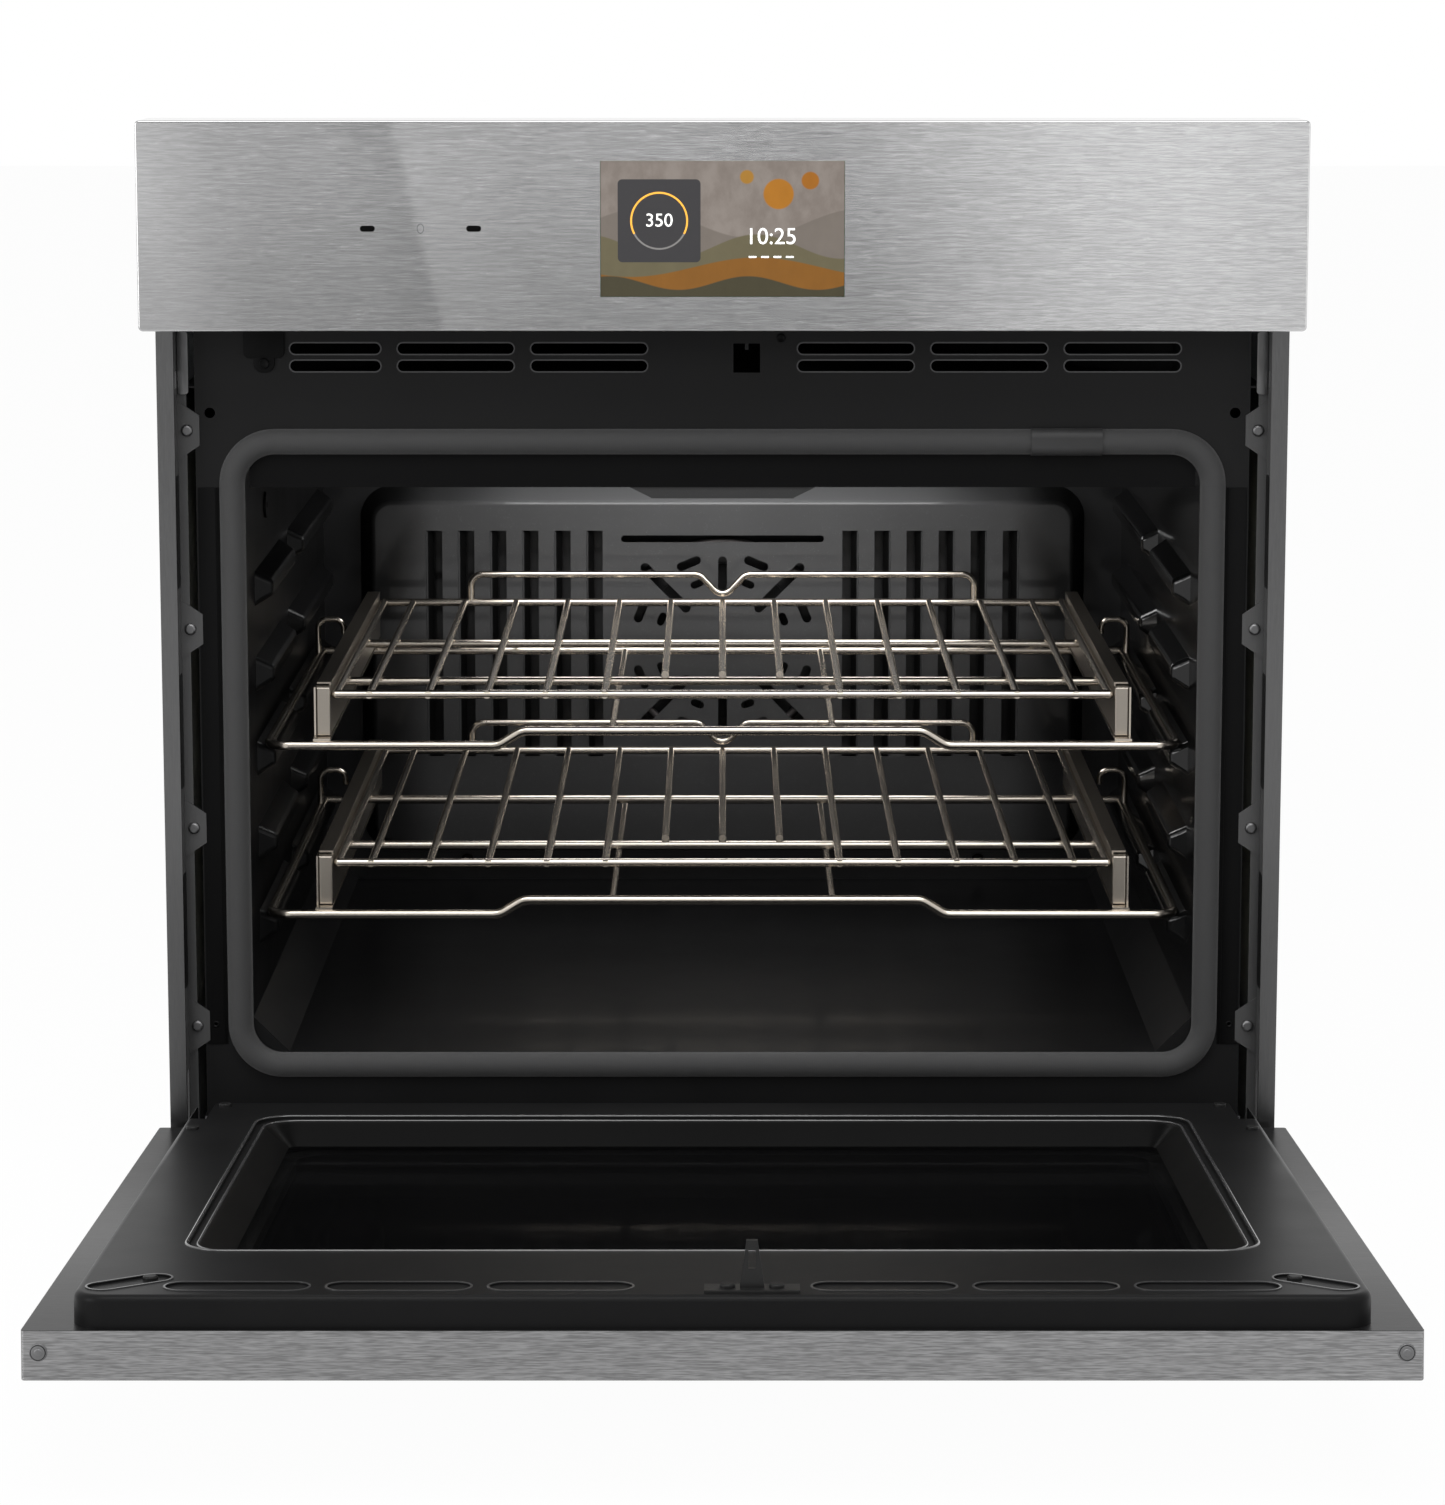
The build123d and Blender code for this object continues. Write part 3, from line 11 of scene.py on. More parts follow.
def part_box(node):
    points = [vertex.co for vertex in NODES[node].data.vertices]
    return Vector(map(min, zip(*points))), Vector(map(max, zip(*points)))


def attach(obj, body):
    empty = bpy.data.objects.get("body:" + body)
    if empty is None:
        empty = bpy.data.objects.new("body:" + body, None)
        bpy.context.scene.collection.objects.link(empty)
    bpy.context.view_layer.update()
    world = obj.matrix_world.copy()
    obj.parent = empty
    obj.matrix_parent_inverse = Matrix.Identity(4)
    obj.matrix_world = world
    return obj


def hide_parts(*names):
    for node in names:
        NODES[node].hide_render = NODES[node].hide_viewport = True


bl_info = {
    "name": "Built-in wall oven",
    "version": (1, 0, 0),
    "blender": (4, 5, 0),
    "location": "3D View > Sidebar > Wall oven",
    "description": "Dresses a built-in wall oven with finishes, fittings and a studio",
    "category": "Object",
}

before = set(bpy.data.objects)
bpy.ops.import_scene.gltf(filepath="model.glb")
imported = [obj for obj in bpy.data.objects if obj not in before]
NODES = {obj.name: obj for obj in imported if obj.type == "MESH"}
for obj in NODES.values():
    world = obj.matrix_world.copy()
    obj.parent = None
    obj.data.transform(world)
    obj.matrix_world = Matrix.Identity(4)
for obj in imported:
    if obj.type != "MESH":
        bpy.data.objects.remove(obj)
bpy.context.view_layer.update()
MM = 0.001

# Hinge of the door, and the turn from its shut place to its place at rest
AXIS = Vector((0, -341.7 * MM, 37.9 * MM))
OPEN_ANGLE = math.radians(85.3)
DOOR_OPEN = Matrix.Translation(AXIS) @ Matrix.Rotation(OPEN_ANGLE, 4, "X") @ Matrix.Translation(-AXIS)

# Places of the CAD nodes
PANEL_FACE, PANEL_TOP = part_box("control_panel")[0].y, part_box("control_panel")[1].z
SCREEN_LOW, SCREEN_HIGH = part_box("display_screen")
FRAME_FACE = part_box("front_frame")[0].y
GASKET_LOW, GASKET_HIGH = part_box("door_gasket")
REAR_WALL_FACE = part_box("cavity_rear_wall")[0].y
COVER_FACE, COVER_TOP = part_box("convection_cover")[0].y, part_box("convection_cover")[1].z
TRIM_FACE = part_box("left_side_trim")[0].y
LINER_FACE = -307 * MM

# Turns that bring a fitting from facing up to facing its own way
FACING_FRONT = Matrix.Rotation(math.radians(90), 4, "X")
FACING_REAR = Matrix.Rotation(math.radians(-90), 4, "X")
FACING_UP = Matrix.Identity(4)

# Places of the fittings, in millimetres
MARK_LEVEL, WINDOW_MIDDLES, RING_MIDDLE = 657.7, (-228.8, -160.3), -194.6
VENT_ROWS = (563.8, 575.3)
REAR_SCREW_MIDDLES, REAR_SCREW_LEVEL = (-204.7, 204.7), 114
EDGE_SCREW_MIDDLES, EDGE_SCREW_DEPTH, EDGE_SCREW_LEVEL = (-368.3, 368.3), -336.9, 587
# Middle and length of each air slot
VENTS = ((-255.5, 59.5), (-176.0, 76.5), (-88.0, 76.5), (88.0, 76.5), (176.0, 76.5), (264.0, 76.5))
# Left, right, foot, head, lift off the frame and corner of the tongue bracket's plates
TONGUE_PLATES = ((-316, -289, 569, 600, 2.2, 4), (-309.5, -295.5, 559.5, 574, 2.0, 6))
# Across, up, radius and lift off the frame of the frame's screws
FRAME_SCREWS = ((-302.5, 565.5, 3.6, 2.0), (38.6, 582.4, 3.0, 0.0), (-341.8, 118.1, 2.4, 0.0),
                (341.8, 118.1, 2.4, 0.0))
# Reach from the middle, depth from the frame's face and span upwards of what stands beside the mouth
SIDE_STRIP = ((336.0, 347.8), (-0.7, 0.0), (104, 483))
# Black sheet as painted shadow in the gap between a strip and the seal
STRIP_SHADOW = ((333.6, 335.8), (-0.1, 0.0), (104, 483))
TRIM_CLIP = ((352.5, 359.8), (-3.4, -1.4), (545, 587))
# Black sheets as painted shadow in the trims' windows
TRIM_WINDOW_SHADOWS = [((359.95, 360.2), (-17.0, -1.5), span) for span in ((146, 224), (282, 359), (417, 492))]
# Radius and height of the rings of a screw in the door's edge
EDGE_SCREW_RINGS = ((4.9, 0.7), (4.3, 1.6), (2.6, 1.9))
# Across, up, length, height and turn in degrees of the slots in one half of the door's liner
LINER_SLOTS = ((88, 561, 80.5, 22, 0), (176, 561, 80.5, 22, 0), (264, 561, 80.5, 22, 0),
               (324, 551, 52, 20, 37))
# Name, half width, foot, head, corner and depth into the window
WINDOW_BEADS = (("window_bead_outer", 305.4, 74.6, 473.4, 23.4, 0.0),
                ("window_bead_inner", 299.6, 80.4, 467.6, 22.6, 2.0))

# Name, place, target, size and power of each lamp
LAMPS = (
    ("top_softbox", (0.0, -1.5, 2.5), (0.0, -0.2, 0.3), (2.2, 1.4), 46),
    ("right_softbox", (2.3, -1.9, 1.1), (0.0, -0.1, 0.35), (0.9, 1.6), 4),
    ("left_softbox", (-2.3, -1.9, 1.1), (0.0, -0.1, 0.35), (0.9, 1.6), 26),
    ("front_fill", (0.25, -3.0, 1.7), (0.0, 0.2, 0.3), (1.2, 0.8), 9),
    ("cavity_glow", (0.0, 0.06, 0.502), (0.0, 0.13, 0.30), (0.36, 0.2), 2.0))
# Share across the reflector and its brightness there
REFLECTOR_BANDS = (
    (0.07, 0.95), (0.10, 0.64), (0.13, 0.40), (0.22, 0.36), (0.268, 0.05), (0.274, 0.78),
    (0.36, 0.37), (0.50, 0.35), (0.56, 0.16), (0.59, 0.06), (0.62, 0.20), (0.65, 0.36),
    (0.71, 0.60), (0.77, 0.82), (0.835, 0.94), (0.867, 0.93), (0.927, 0.74))


# Sizes and colours
def length_setting(name, description, default):
    return FloatProperty(name=name, description=description, default=default, unit="LENGTH")


def colour_setting(name, description, default):
    return FloatVectorProperty(name=name, description=description, default=default, subtype="COLOR")


class OvenSizes(PropertyGroup):
    """Sizes of the fittings."""

    gasket_width: length_setting("Gasket width", "Width of the woven seal round the mouth", 17 * MM)
    gasket_corner: length_setting("Gasket corner", "Outer corner radius of the seal", 37 * MM)
    window_length: length_setting("Sensor window length", "Length of a black pill on the panel", 9.6 * MM)
    window_height: length_setting("Sensor window height", "Height of a black pill on the panel", 3.9 * MM)
    clock_height: length_setting("Clock height", "Type size of the clock on the screen", 15 * MM)
    clock_text: StringProperty(name="Clock", description="Numbers that the clock shows", default="10:25")
    dial_text: StringProperty(name="Dial", description="Number inside the dial", default="350")
    socket_sides: IntProperty(name="Screw facets", description="Facets round a screw head", default=28)


class OvenColours(PropertyGroup):
    """Colours of the finishes."""

    steel: colour_setting("Brushed steel", "Control panel and door edge", (0.53, 0.53, 0.535))
    trim: colour_setting("Trim steel", "Side trims", (0.13, 0.13, 0.131))
    frame_black: colour_setting("Frame enamel", "Front frame and valance", (0.006, 0.006, 0.0062))
    cavity: colour_setting("Cavity enamel", "Walls, floor and ceiling", (0.0065, 0.0065, 0.0068))
    cover: colour_setting("Cover enamel", "Greyer cover over the convection fan", (0.048, 0.0482, 0.049))
    liner: colour_setting("Liner enamel", "Inner face of the door", (0.0085, 0.0085, 0.0087))
    gasket: colour_setting("Gasket weave", "Woven seal", (0.028, 0.028, 0.0285))
    wire: colour_setting("Rack wire", "Bright warm wire of the racks", (0.52, 0.472, 0.412))
    zinc: colour_setting("Zinc sheet", "Outer case sheets", (0.50, 0.52, 0.53))


def sizes():
    return bpy.context.scene.oven_sizes


def colours():
    return bpy.context.scene.oven_colours


# Shader maths
def maths(operation, swapped=False):
    """A method that adds one Math node; swapped is for a plain number on the left."""
    def method(self, *others):
        values = (*others, self) if swapped else (self, *others)
        return self.finish.add("ShaderNodeMath", {"operation": operation}, dict(enumerate(values)))
    return method


class Wire:
    """One output of a node; arithmetic on it adds Math nodes to its finish."""

    def __init__(self, finish, socket):
        self.finish = finish
        self.socket = socket

    __add__, __radd__ = maths("ADD"), maths("ADD", swapped=True)
    __sub__, __rsub__ = maths("SUBTRACT"), maths("SUBTRACT", swapped=True)
    __mul__, __rmul__ = maths("MULTIPLY"), maths("MULTIPLY", swapped=True)
    __truediv__, __pow__ = maths("DIVIDE"), maths("POWER")
    sine, size, larger = maths("SINE"), maths("ABSOLUTE"), maths("MAXIMUM")
    above, below = maths("GREATER_THAN"), maths("LESS_THAN")

    def eased(self, low, high):
        """Zero under low, one over high, and a smooth rise between."""
        return self.finish.add(
            "ShaderNodeMapRange", {"interpolation_type": "SMOOTHSTEP"},
            {"Value": self, "From Min": low, "From Max": high})


class Finish:
    """A material, or the world, with one way of adding nodes to it."""

    def __init__(self, name, kind="materials"):
        self.owner = getattr(bpy.data, kind).new(name)
        self.owner.use_nodes = True
        self.tree = self.owner.node_tree
        self.tree.nodes.clear()

    def add(self, kind, settings=None, inputs=None, output=0):
        node = self.tree.nodes.new(kind)
        for key, value in (settings or {}).items():
            setattr(node, key, value)
        for key, value in (inputs or {}).items():
            if isinstance(value, Wire):
                self.tree.links.new(value.socket, node.inputs[key])
            else:
                node.inputs[key].default_value = value
        return Wire(self, node.outputs[output])

    def place(self, scale):
        """Object coordinates, scaled by one number or by one for each axis."""
        point = self.add("ShaderNodeTexCoord", output="Object")
        scale = scale if isinstance(scale, tuple) else (scale,) * 3
        return self.add("ShaderNodeMapping", {}, {"Vector": point, "Scale": scale})

    def axes(self):
        """The three Object coordinates as values."""
        point = self.add("ShaderNodeTexCoord", output="Object")
        return [self.add("ShaderNodeSeparateXYZ", {}, {0: point}, output=axis) for axis in range(3)]

    def noise(self, scale, detail=2.0, rough=0.5):
        return self.add("ShaderNodeTexNoise", {}, {
            "Vector": self.place(scale), "Scale": 1.0, "Detail": detail, "Roughness": rough})

    def cells(self, scale, output="Distance"):
        return self.add("ShaderNodeTexVoronoi", {}, {"Vector": self.place(scale), "Scale": 1.0},
                        output=output)

    def mix(self, factor, first, second):
        """A colour between two colours."""
        tints = [value if isinstance(value, Wire) else (*value[:3], 1.0) for value in (first, second)]
        return self.add("ShaderNodeMix", {"data_type": "RGBA"},
                        {0: factor, 6: tints[0], 7: tints[1]}, output=2)

    def ramp(self, share, stops):
        """A grey that follows (place, level) stops along a share from zero to one."""
        found = self.add("ShaderNodeValToRGB", {}, {0: share})
        scale = found.socket.node.color_ramp
        for index, (place, level) in enumerate(stops):
            mark = scale.elements[index] if index < 2 else scale.elements.new(place)
            mark.position = place
            mark.color = (level, level, level, 1.0)
        return found

    def bump(self, height, strength, depth):
        return self.add("ShaderNodeBump", {}, {"Height": height, "Strength": strength, "Distance": depth})

    def surface(self, **inputs):
        """Close the material with one shader; names carry underscores for spaces."""
        named = {key.replace("_", " "): (*value, 1.0) if isinstance(value, tuple) else value
                 for key, value in inputs.items()}
        shader = self.add("ShaderNodeBsdfPrincipled", {}, named)
        self.add_output(shader)
        return self.owner

    def add_output(self, shader, kind="ShaderNodeOutputMaterial"):
        end = self.tree.nodes.new(kind)
        self.tree.links.new(shader.socket, end.inputs["Surface"])


def tone(colour, share):
    """A colour made lighter or darker."""
    return tuple(min(1.0, part * share) for part in colour)


# Finishes
def brushed(name, colour, along=0, rough=0.26, contrast=0.10, coat=0.0, painted=None, shade_paint=None,
            satin=None):
    """Brushed sheet with scratches along one axis; masks mark black paint, painted shade and satin places.
    """
    finish = Finish(name)

    def grain(length, width, detail):
        scale = [1.0 / (width * MM)] * 3
        scale[along] = 1.0 / (length * MM)
        return finish.noise(tuple(scale), detail, 0.6)

    streak = grain(20, 0.9, 2.0) * 0.55 + grain(8, 0.5, 1.0) * 0.45
    cloud = finish.noise(5.0, 1.0)
    shade = finish.mix(streak.eased(0.33, 0.67), tone(colour, 1 - contrast), tone(colour, 1 + contrast))
    shade = finish.mix((cloud - 0.5).size() * 0.25, shade, tone(colour, 0.85))
    metallic = 1.0
    if shade_paint:
        # Painted shade: where the mask is one, the steel darkens towards four tenths of its tone.
        shade = finish.mix(shade_paint(finish), shade, tone(colour, 0.4))
    if painted:
        cover = painted(finish)
        shade = finish.mix(cover, shade, (0.005, 0.005, 0.0052))
        metallic = 1 - cover
    if satin:
        metallic = 1 - 0.55 * satin(finish)
    return finish.surface(
        Base_Color=shade, Metallic=metallic, Roughness=rough - 0.06 + 0.14 * streak,
        Anisotropic=0.75, Anisotropic_Rotation=0.25 if along == 0 else 0.0,
        Coat_Weight=coat, Coat_Roughness=0.02, Coat_IOR=2.2, Specular_IOR_Level=0.12,
        Normal=finish.bump(streak, 0.12, 0.3 * MM))


def door_place(finish):
    """Place on the shut door: across, then back from the hinge axis, then up from it."""
    x, y, z = finish.axes()
    ahead, above = y - AXIS.y, z - AXIS.z
    swing, rise = math.cos(OPEN_ANGLE), math.sin(OPEN_ANGLE)
    return x, ahead * swing + above * rise, above * swing - ahead * rise


def tray_rim(finish):
    """One on the side of the door tray that faces the oven, zero on its outside."""
    skin = 16.5 * MM
    return door_place(finish)[1].above(skin)


def funnel_shade(finish):
    """Painted shade: one on the slopes that lead down to the door's panes."""
    half_width, middle, half_height, depth = 298 * MM, 236 * MM, 192 * MM, 3 * MM
    across, back, up = door_place(finish)
    deep = back.below(LINER_FACE - AXIS.y - depth)
    return deep * across.size().below(half_width) * (up - middle).size().below(half_height)


def panel_painted_shade(finish):
    """Painted shade: one along the top edge of the control panel, and a soft painted shade towards its lower
    left.
    """
    x, _, z = finish.axes()
    low = 1 - z.eased(PANEL_TOP - 140 * MM, PANEL_TOP - 10 * MM)
    return z.above(PANEL_TOP - 1.4 * MM).larger(low * (1 - x.eased(-40 * MM, 240 * MM)) * 0.42)


def trim_rear_shade(finish):
    """Painted shade: half on the rear flange and the tabs of a side trim."""
    return finish.axes()[1].above(FRAME_FACE - 3 * MM) * 0.5


def trim_inside(finish):
    """One on a side trim behind its front flange."""
    return finish.axes()[1].above(TRIM_FACE + 2 * MM)


def cover_shade(finish):
    """Painted shade: one on the flaps behind the cover's air slots and, softly, towards the cover's ends."""
    half_width, middle, half_height, depth = 242 * MM, 293 * MM, 96 * MM, 1.6 * MM
    x, y, z = finish.axes()
    deep = y.above(COVER_FACE + depth)
    flaps = deep * x.size().below(half_width) * (z - middle).size().below(half_height)
    return flaps.larger(x.size().eased(222 * MM, 262 * MM) * 0.9)


def cover_top_light(finish):
    """Painted light: one on the middle of the slope along the top of the cover."""
    x, _, z = finish.axes()
    return z.eased(COVER_TOP - 14 * MM, COVER_TOP - 9 * MM) * (1 - x.size().eased(150 * MM, 225 * MM))


def enamel(name, colour, rough=0.3, coat=0.25, gleam=0.2, speckle=0.5, shade_mask=None, painted_light=None):
    """Fired enamel with specks paler than the ground, orange peel and uneven gloss; masks mark painted shade
    and painted light.
    """
    finish = Finish(name)
    specks = finish.cells(900.0)
    dots = (1 - specks.eased(0.10, 0.24)) * finish.noise(240.0, 2.0).eased(0.45, 0.7)
    cloud = finish.noise(14.0, 3.0)
    base = finish.mix(cloud, tone(colour, 0.85), tone(colour, 1.15))
    base = finish.mix(dots * speckle, base, tone(colour, 4.0))
    # Painted light: where the mask is one, the enamel turns lighter.
    if painted_light:
        base = finish.mix(painted_light(finish), base, tone(colour, 2.2))
    # Painted shade: where the mask is one, the enamel darkens to near black.
    if shade_mask:
        base = finish.mix(shade_mask(finish), base, (0.003, 0.003, 0.003))
    peel = finish.noise(420.0, 2.0)
    return finish.surface(
        Base_Color=base, Roughness=rough - 0.05 + 0.12 * cloud, Coat_Weight=coat, Coat_Roughness=0.08,
        Specular_IOR_Level=gleam, Normal=finish.bump(peel, 0.25, 0.12 * MM))


def drawn_steel(name, colour, rough=0.23):
    """Bright drawn steel with a faint straw tint where it has been hot."""
    finish = Finish(name)
    heat = finish.noise(9.0, 3.0).eased(0.40, 0.75)
    drawn = finish.noise((160.0, 160.0, 900.0), 2.0)
    base = finish.mix(heat * 0.35, colour, tone(colour, 0.78))
    base = finish.mix(drawn.eased(0.3, 0.7) * 0.06, base, tone(colour, 1.4))
    return finish.surface(Base_Color=base, Metallic=1.0, Roughness=rough + 0.02 * drawn,
                          Normal=finish.bump(drawn, 0.004, 0.05 * MM))


def zinc_sheet():
    """Zinc coated sheet with its large crystal spangle."""
    finish = Finish("zinc_sheet")
    spangle = finish.cells(150.0, output="Color")
    grey = finish.add("ShaderNodeSeparateColor", {}, {0: spangle}, output=0)
    fine = finish.noise(600.0, 2.0)
    base = finish.mix(grey, tone(colours().zinc, 0.93), tone(colours().zinc, 1.05))
    base = finish.mix(fine * 0.15, base, (0.75, 0.76, 0.77))
    return finish.surface(Base_Color=base, Metallic=0.9, Roughness=0.36 + 0.06 * grey + 0.06 * fine,
                          Normal=finish.bump(grey + fine * 0.3, 0.03, 0.1 * MM))


def coated(name, colour, rough=0.4, metallic=0.0, wear=0.2, gleam=0.3):
    """Moulded or powder coated surface with a fine grit and worn patches."""
    finish = Finish(name)
    grain = finish.noise(500.0, 3.0)
    patch = finish.noise(22.0, 3.0)
    base = finish.mix(patch.eased(0.35, 0.75), colour, tone(colour, 1 + 2 * wear))
    base = finish.mix(grain.eased(0.5, 0.8) * wear, base, tone(colour, 1.8))
    return finish.surface(Base_Color=base, Metallic=metallic, Roughness=rough - 0.06 + 0.16 * grain,
                          Specular_IOR_Level=gleam, Normal=finish.bump(grain, 0.15, 0.1 * MM))


def print_and_shadow_black():
    """Plain black, for print and for painted shadow in gaps and windows."""
    return coated("print_and_shadow_black", (0.002, 0.002, 0.002), rough=0.3, wear=0.05, gleam=0.05)


def wiped(finish):
    """Marks that a cloth leaves on glass."""
    return finish.noise((8.0, 40.0, 40.0), 4.0)


def lamp_glass():
    """Clear glass with faint wipe marks in its gloss."""
    finish = Finish("lamp_glass")
    wipe = wiped(finish)
    return finish.surface(
        Base_Color=finish.mix(wipe, (0.9, 0.92, 0.92), (0.83, 0.85, 0.85)), Transmission_Weight=1.0,
        IOR=1.45, Specular_IOR_Level=0.2, Roughness=wipe.eased(0.55, 0.9) * 0.06)


def tinted_pane(name, tint, cover, gleam):
    """Dark tinted pane that lets part of the view through, with faint wipe marks in its gloss."""
    finish = Finish(name)
    wipe = wiped(finish)
    return finish.surface(
        Base_Color=finish.mix(wipe, tint, tone(tint, 1.4)), Alpha=cover + 0.05 * wipe,
        Specular_IOR_Level=gleam, Roughness=0.04 + 0.06 * wipe.eased(0.55, 0.9))


def dark_pane():
    """Outer pane: glossy outside, printed dull black on its back."""
    finish = Finish("dark_pane")
    wipe = wiped(finish)
    base = finish.mix(wipe, (0.004, 0.004, 0.0045), (0.007, 0.007, 0.0075))
    shut = DOOR_OPEN.inverted()
    front = min((shut @ vert.co).y for vert in NODES["outer_glass"].data.vertices) - AXIS.y
    outside = door_place(finish)[1].below(front + 0.5 * MM)
    return finish.surface(Base_Color=base, Roughness=0.03 + 0.06 * wipe.eased(0.5, 0.9),
                          Specular_IOR_Level=0.002, Coat_Weight=0.3 * outside, Coat_Roughness=0.03)


def woven(name, colour):
    """Braided sleeve that follows the seal round the mouth, on its own run and girth map."""
    finish = Finish(name)
    run_girth = finish.add("ShaderNodeUVMap", {"uv_map": "run"})
    run = finish.add("ShaderNodeSeparateXYZ", {}, {0: run_girth}, output=0)
    girth = finish.add("ShaderNodeSeparateXYZ", {}, {0: run_girth}, output=1)
    strands = 2 * math.pi / (2.6 * MM)
    rising = ((run + girth) * strands).sine()
    falling = ((run - girth) * strands).sine()
    braid = rising.larger(falling)
    fuzz = finish.noise(1400.0, 3.0)
    height = braid * 0.7 + fuzz * 0.5
    # The tone follows the braid's height: darker in the hollows between strands as painted shade, lighter on
    # the crests as painted light.
    base = finish.mix(height.eased(0.1, 1.0), tone(colour, 0.78), tone(colour, 1.12))
    base = finish.mix(finish.noise(30.0, 3.0).eased(0.45, 0.8) * 0.3, base, tone(colour, 0.8))
    return finish.surface(Base_Color=base, Roughness=0.62 + 0.2 * fuzz, Sheen_Weight=0.15,
                          Normal=finish.bump(height, 0.35, 0.25 * MM))


def blanket():
    """Fibre blanket round the cavity."""
    finish = Finish("fibre_blanket")
    fibre = finish.noise((300.0, 40.0, 300.0), 4.0)
    base = finish.mix(fibre, (0.50, 0.46, 0.33), (0.74, 0.70, 0.55))
    return finish.surface(Base_Color=base, Roughness=0.9, Normal=finish.bump(fibre, 0.6, 1.5 * MM))


def circuit_board():
    """Green board with paler copper runs under its mask."""
    finish = Finish("circuit_board")
    run = finish.add("ShaderNodeTexBrick", {"offset": 0.37}, {
        "Vector": finish.place(60.0), "Scale": 1.0, "Mortar Size": 0.05}, output="Fac")
    base = finish.mix(run, (0.012, 0.10, 0.035), (0.05, 0.22, 0.09))
    return finish.surface(Base_Color=base, Roughness=0.32 + 0.1 * finish.noise(90.0))


def unglazed():
    """Pale ceramic."""
    finish = Finish("lamp_ceramic")
    grain = finish.noise(260.0, 3.0)
    return finish.surface(Base_Color=finish.mix(grain, (0.72, 0.69, 0.63), (0.86, 0.84, 0.79)),
                          Roughness=0.55 + 0.2 * grain)


def glowing(name, colour, strength):
    """Lit print on the screen, with the faint grid of its dots."""
    finish = Finish(name)
    dots = finish.noise(4000.0, 0.0)
    shade = finish.mix(dots * 0.25, colour, tone(colour, 0.8))
    return finish.surface(Base_Color=shade, Roughness=0.15, Emission_Color=shade, Emission_Strength=strength)


def screen_picture():
    """Screen picture: rounded hills in warm greys under plain discs, lit from behind."""
    finish = Finish("screen_picture")
    across, _, up = finish.axes()
    across = (across - SCREEN_LOW.x) / (SCREEN_HIGH.x - SCREEN_LOW.x)
    up = (up - SCREEN_LOW.z) / (SCREEN_HIGH.x - SCREEN_LOW.x)
    haze = finish.noise((90.0, 1.0, 60.0), 4.0, 0.6)
    shade = finish.mix(haze.eased(0.3, 0.7), (0.33, 0.28, 0.245), (0.42, 0.365, 0.325))
    discs = ((0.73, 0.42, 0.062, (0.55, 0.22, 0.022)), (0.86, 0.475, 0.036, (0.46, 0.17, 0.018)),
             (0.60, 0.49, 0.028, (0.50, 0.25, 0.04)))
    for x, z, radius, tint in discs:
        far = ((across - x) ** 2.0 + (up - z) ** 2.0) ** 0.5
        inside = 1 - far.eased(radius - 0.004, radius + 0.004)
        shade = finish.mix(inside, shade, finish.mix(haze, tint, tone(tint, 1.35)))
    hills = ((0.30, 0.060, 7.0, 0.4, (0.25, 0.215, 0.185)), (0.205, 0.050, 9.0, 2.1, (0.19, 0.165, 0.095)),
             (0.12, 0.040, 6.0, 4.0, (0.32, 0.135, 0.022)), (0.055, 0.028, 11.0, 1.2, (0.085, 0.075, 0.042)))
    for rise, swing, waves, start, tint in hills:
        crest = (across * waves + start).sine() * swing + rise
        inside = (crest - up).eased(-0.003, 0.003)
        shade = finish.mix(inside, shade, finish.mix(haze, tint, tone(tint, 1.3)))
    return finish.surface(
        Base_Color=(0.01, 0.01, 0.01), Roughness=0.12, Specular_IOR_Level=0.2,
        Emission_Color=shade, Emission_Strength=0.70)


# Mesh helpers
def added(bm, keep):
    """Verts that have come since the kept ones."""
    return [vert for vert in bm.verts if vert not in keep]


def move_all(bm, matrix):
    bmesh.ops.transform(bm, verts=bm.verts, matrix=matrix)


def only(kind, items):
    """Items of one kind out of what an operator made."""
    return [item for item in items if isinstance(item, kind)]


def sheet(bm, wide, high):
    """Flat rectangle in X and Y."""
    verts = bmesh.ops.create_grid(bm, x_segments=1, y_segments=1, size=0.5)["verts"]
    bmesh.ops.scale(bm, verts=verts, vec=(wide, high, 1))
    return verts


def link_edges(verts):
    """Edges at these verts, each once and always in the same order."""
    return list(dict.fromkeys(edge for vert in verts for edge in vert.link_edges))


def edges_along(verts, axis):
    """Edges of a shape that run along one axis."""
    runs = ((edge, edge.verts[1].co - edge.verts[0].co) for edge in link_edges(verts))
    return [edge for edge, run in runs if abs(run[axis]) > 0.99 * run.length]


def round_off(bm, edges, radius, steps):
    bmesh.ops.bevel(bm, geom=edges, offset=radius, offset_type="OFFSET", segments=steps, profile=0.5,
                    affect="EDGES", material=-1)


def slab(bm, low, high, corner, edge, axis=1):
    """Plate with rounded corners and a softened front; axis is the one that it is thin along."""
    keep, low, high = set(bm.verts), Vector(low), Vector(high)
    verts = bmesh.ops.create_cube(bm, size=1.0)["verts"]
    bmesh.ops.scale(bm, verts=verts, vec=high - low)
    bmesh.ops.translate(bm, verts=verts, vec=(low + high) / 2)
    round_off(bm, edges_along(verts, axis), corner, 8)
    verts = added(bm, keep)
    front = min(vert.co[axis] for vert in verts)
    rim = [item for item in link_edges(verts)
           if all(abs(vert.co[axis] - front) < 1e-7 for vert in item.verts)]
    if edge:
        round_off(bm, rim, edge, 2)


def both_sides(bm, reach, depth, span, corner, edge, axis=1):
    """A slab on each side of the frame's face, with every size in millimetres."""
    for side in (-1, 1):
        low, high = (Vector((across * MM, FRAME_FACE + back * MM, up * MM))
                     for across, back, up in zip(sorted(side * end for end in reach), depth, span))
        slab(bm, low, high, corner * MM, edge * MM, axis)


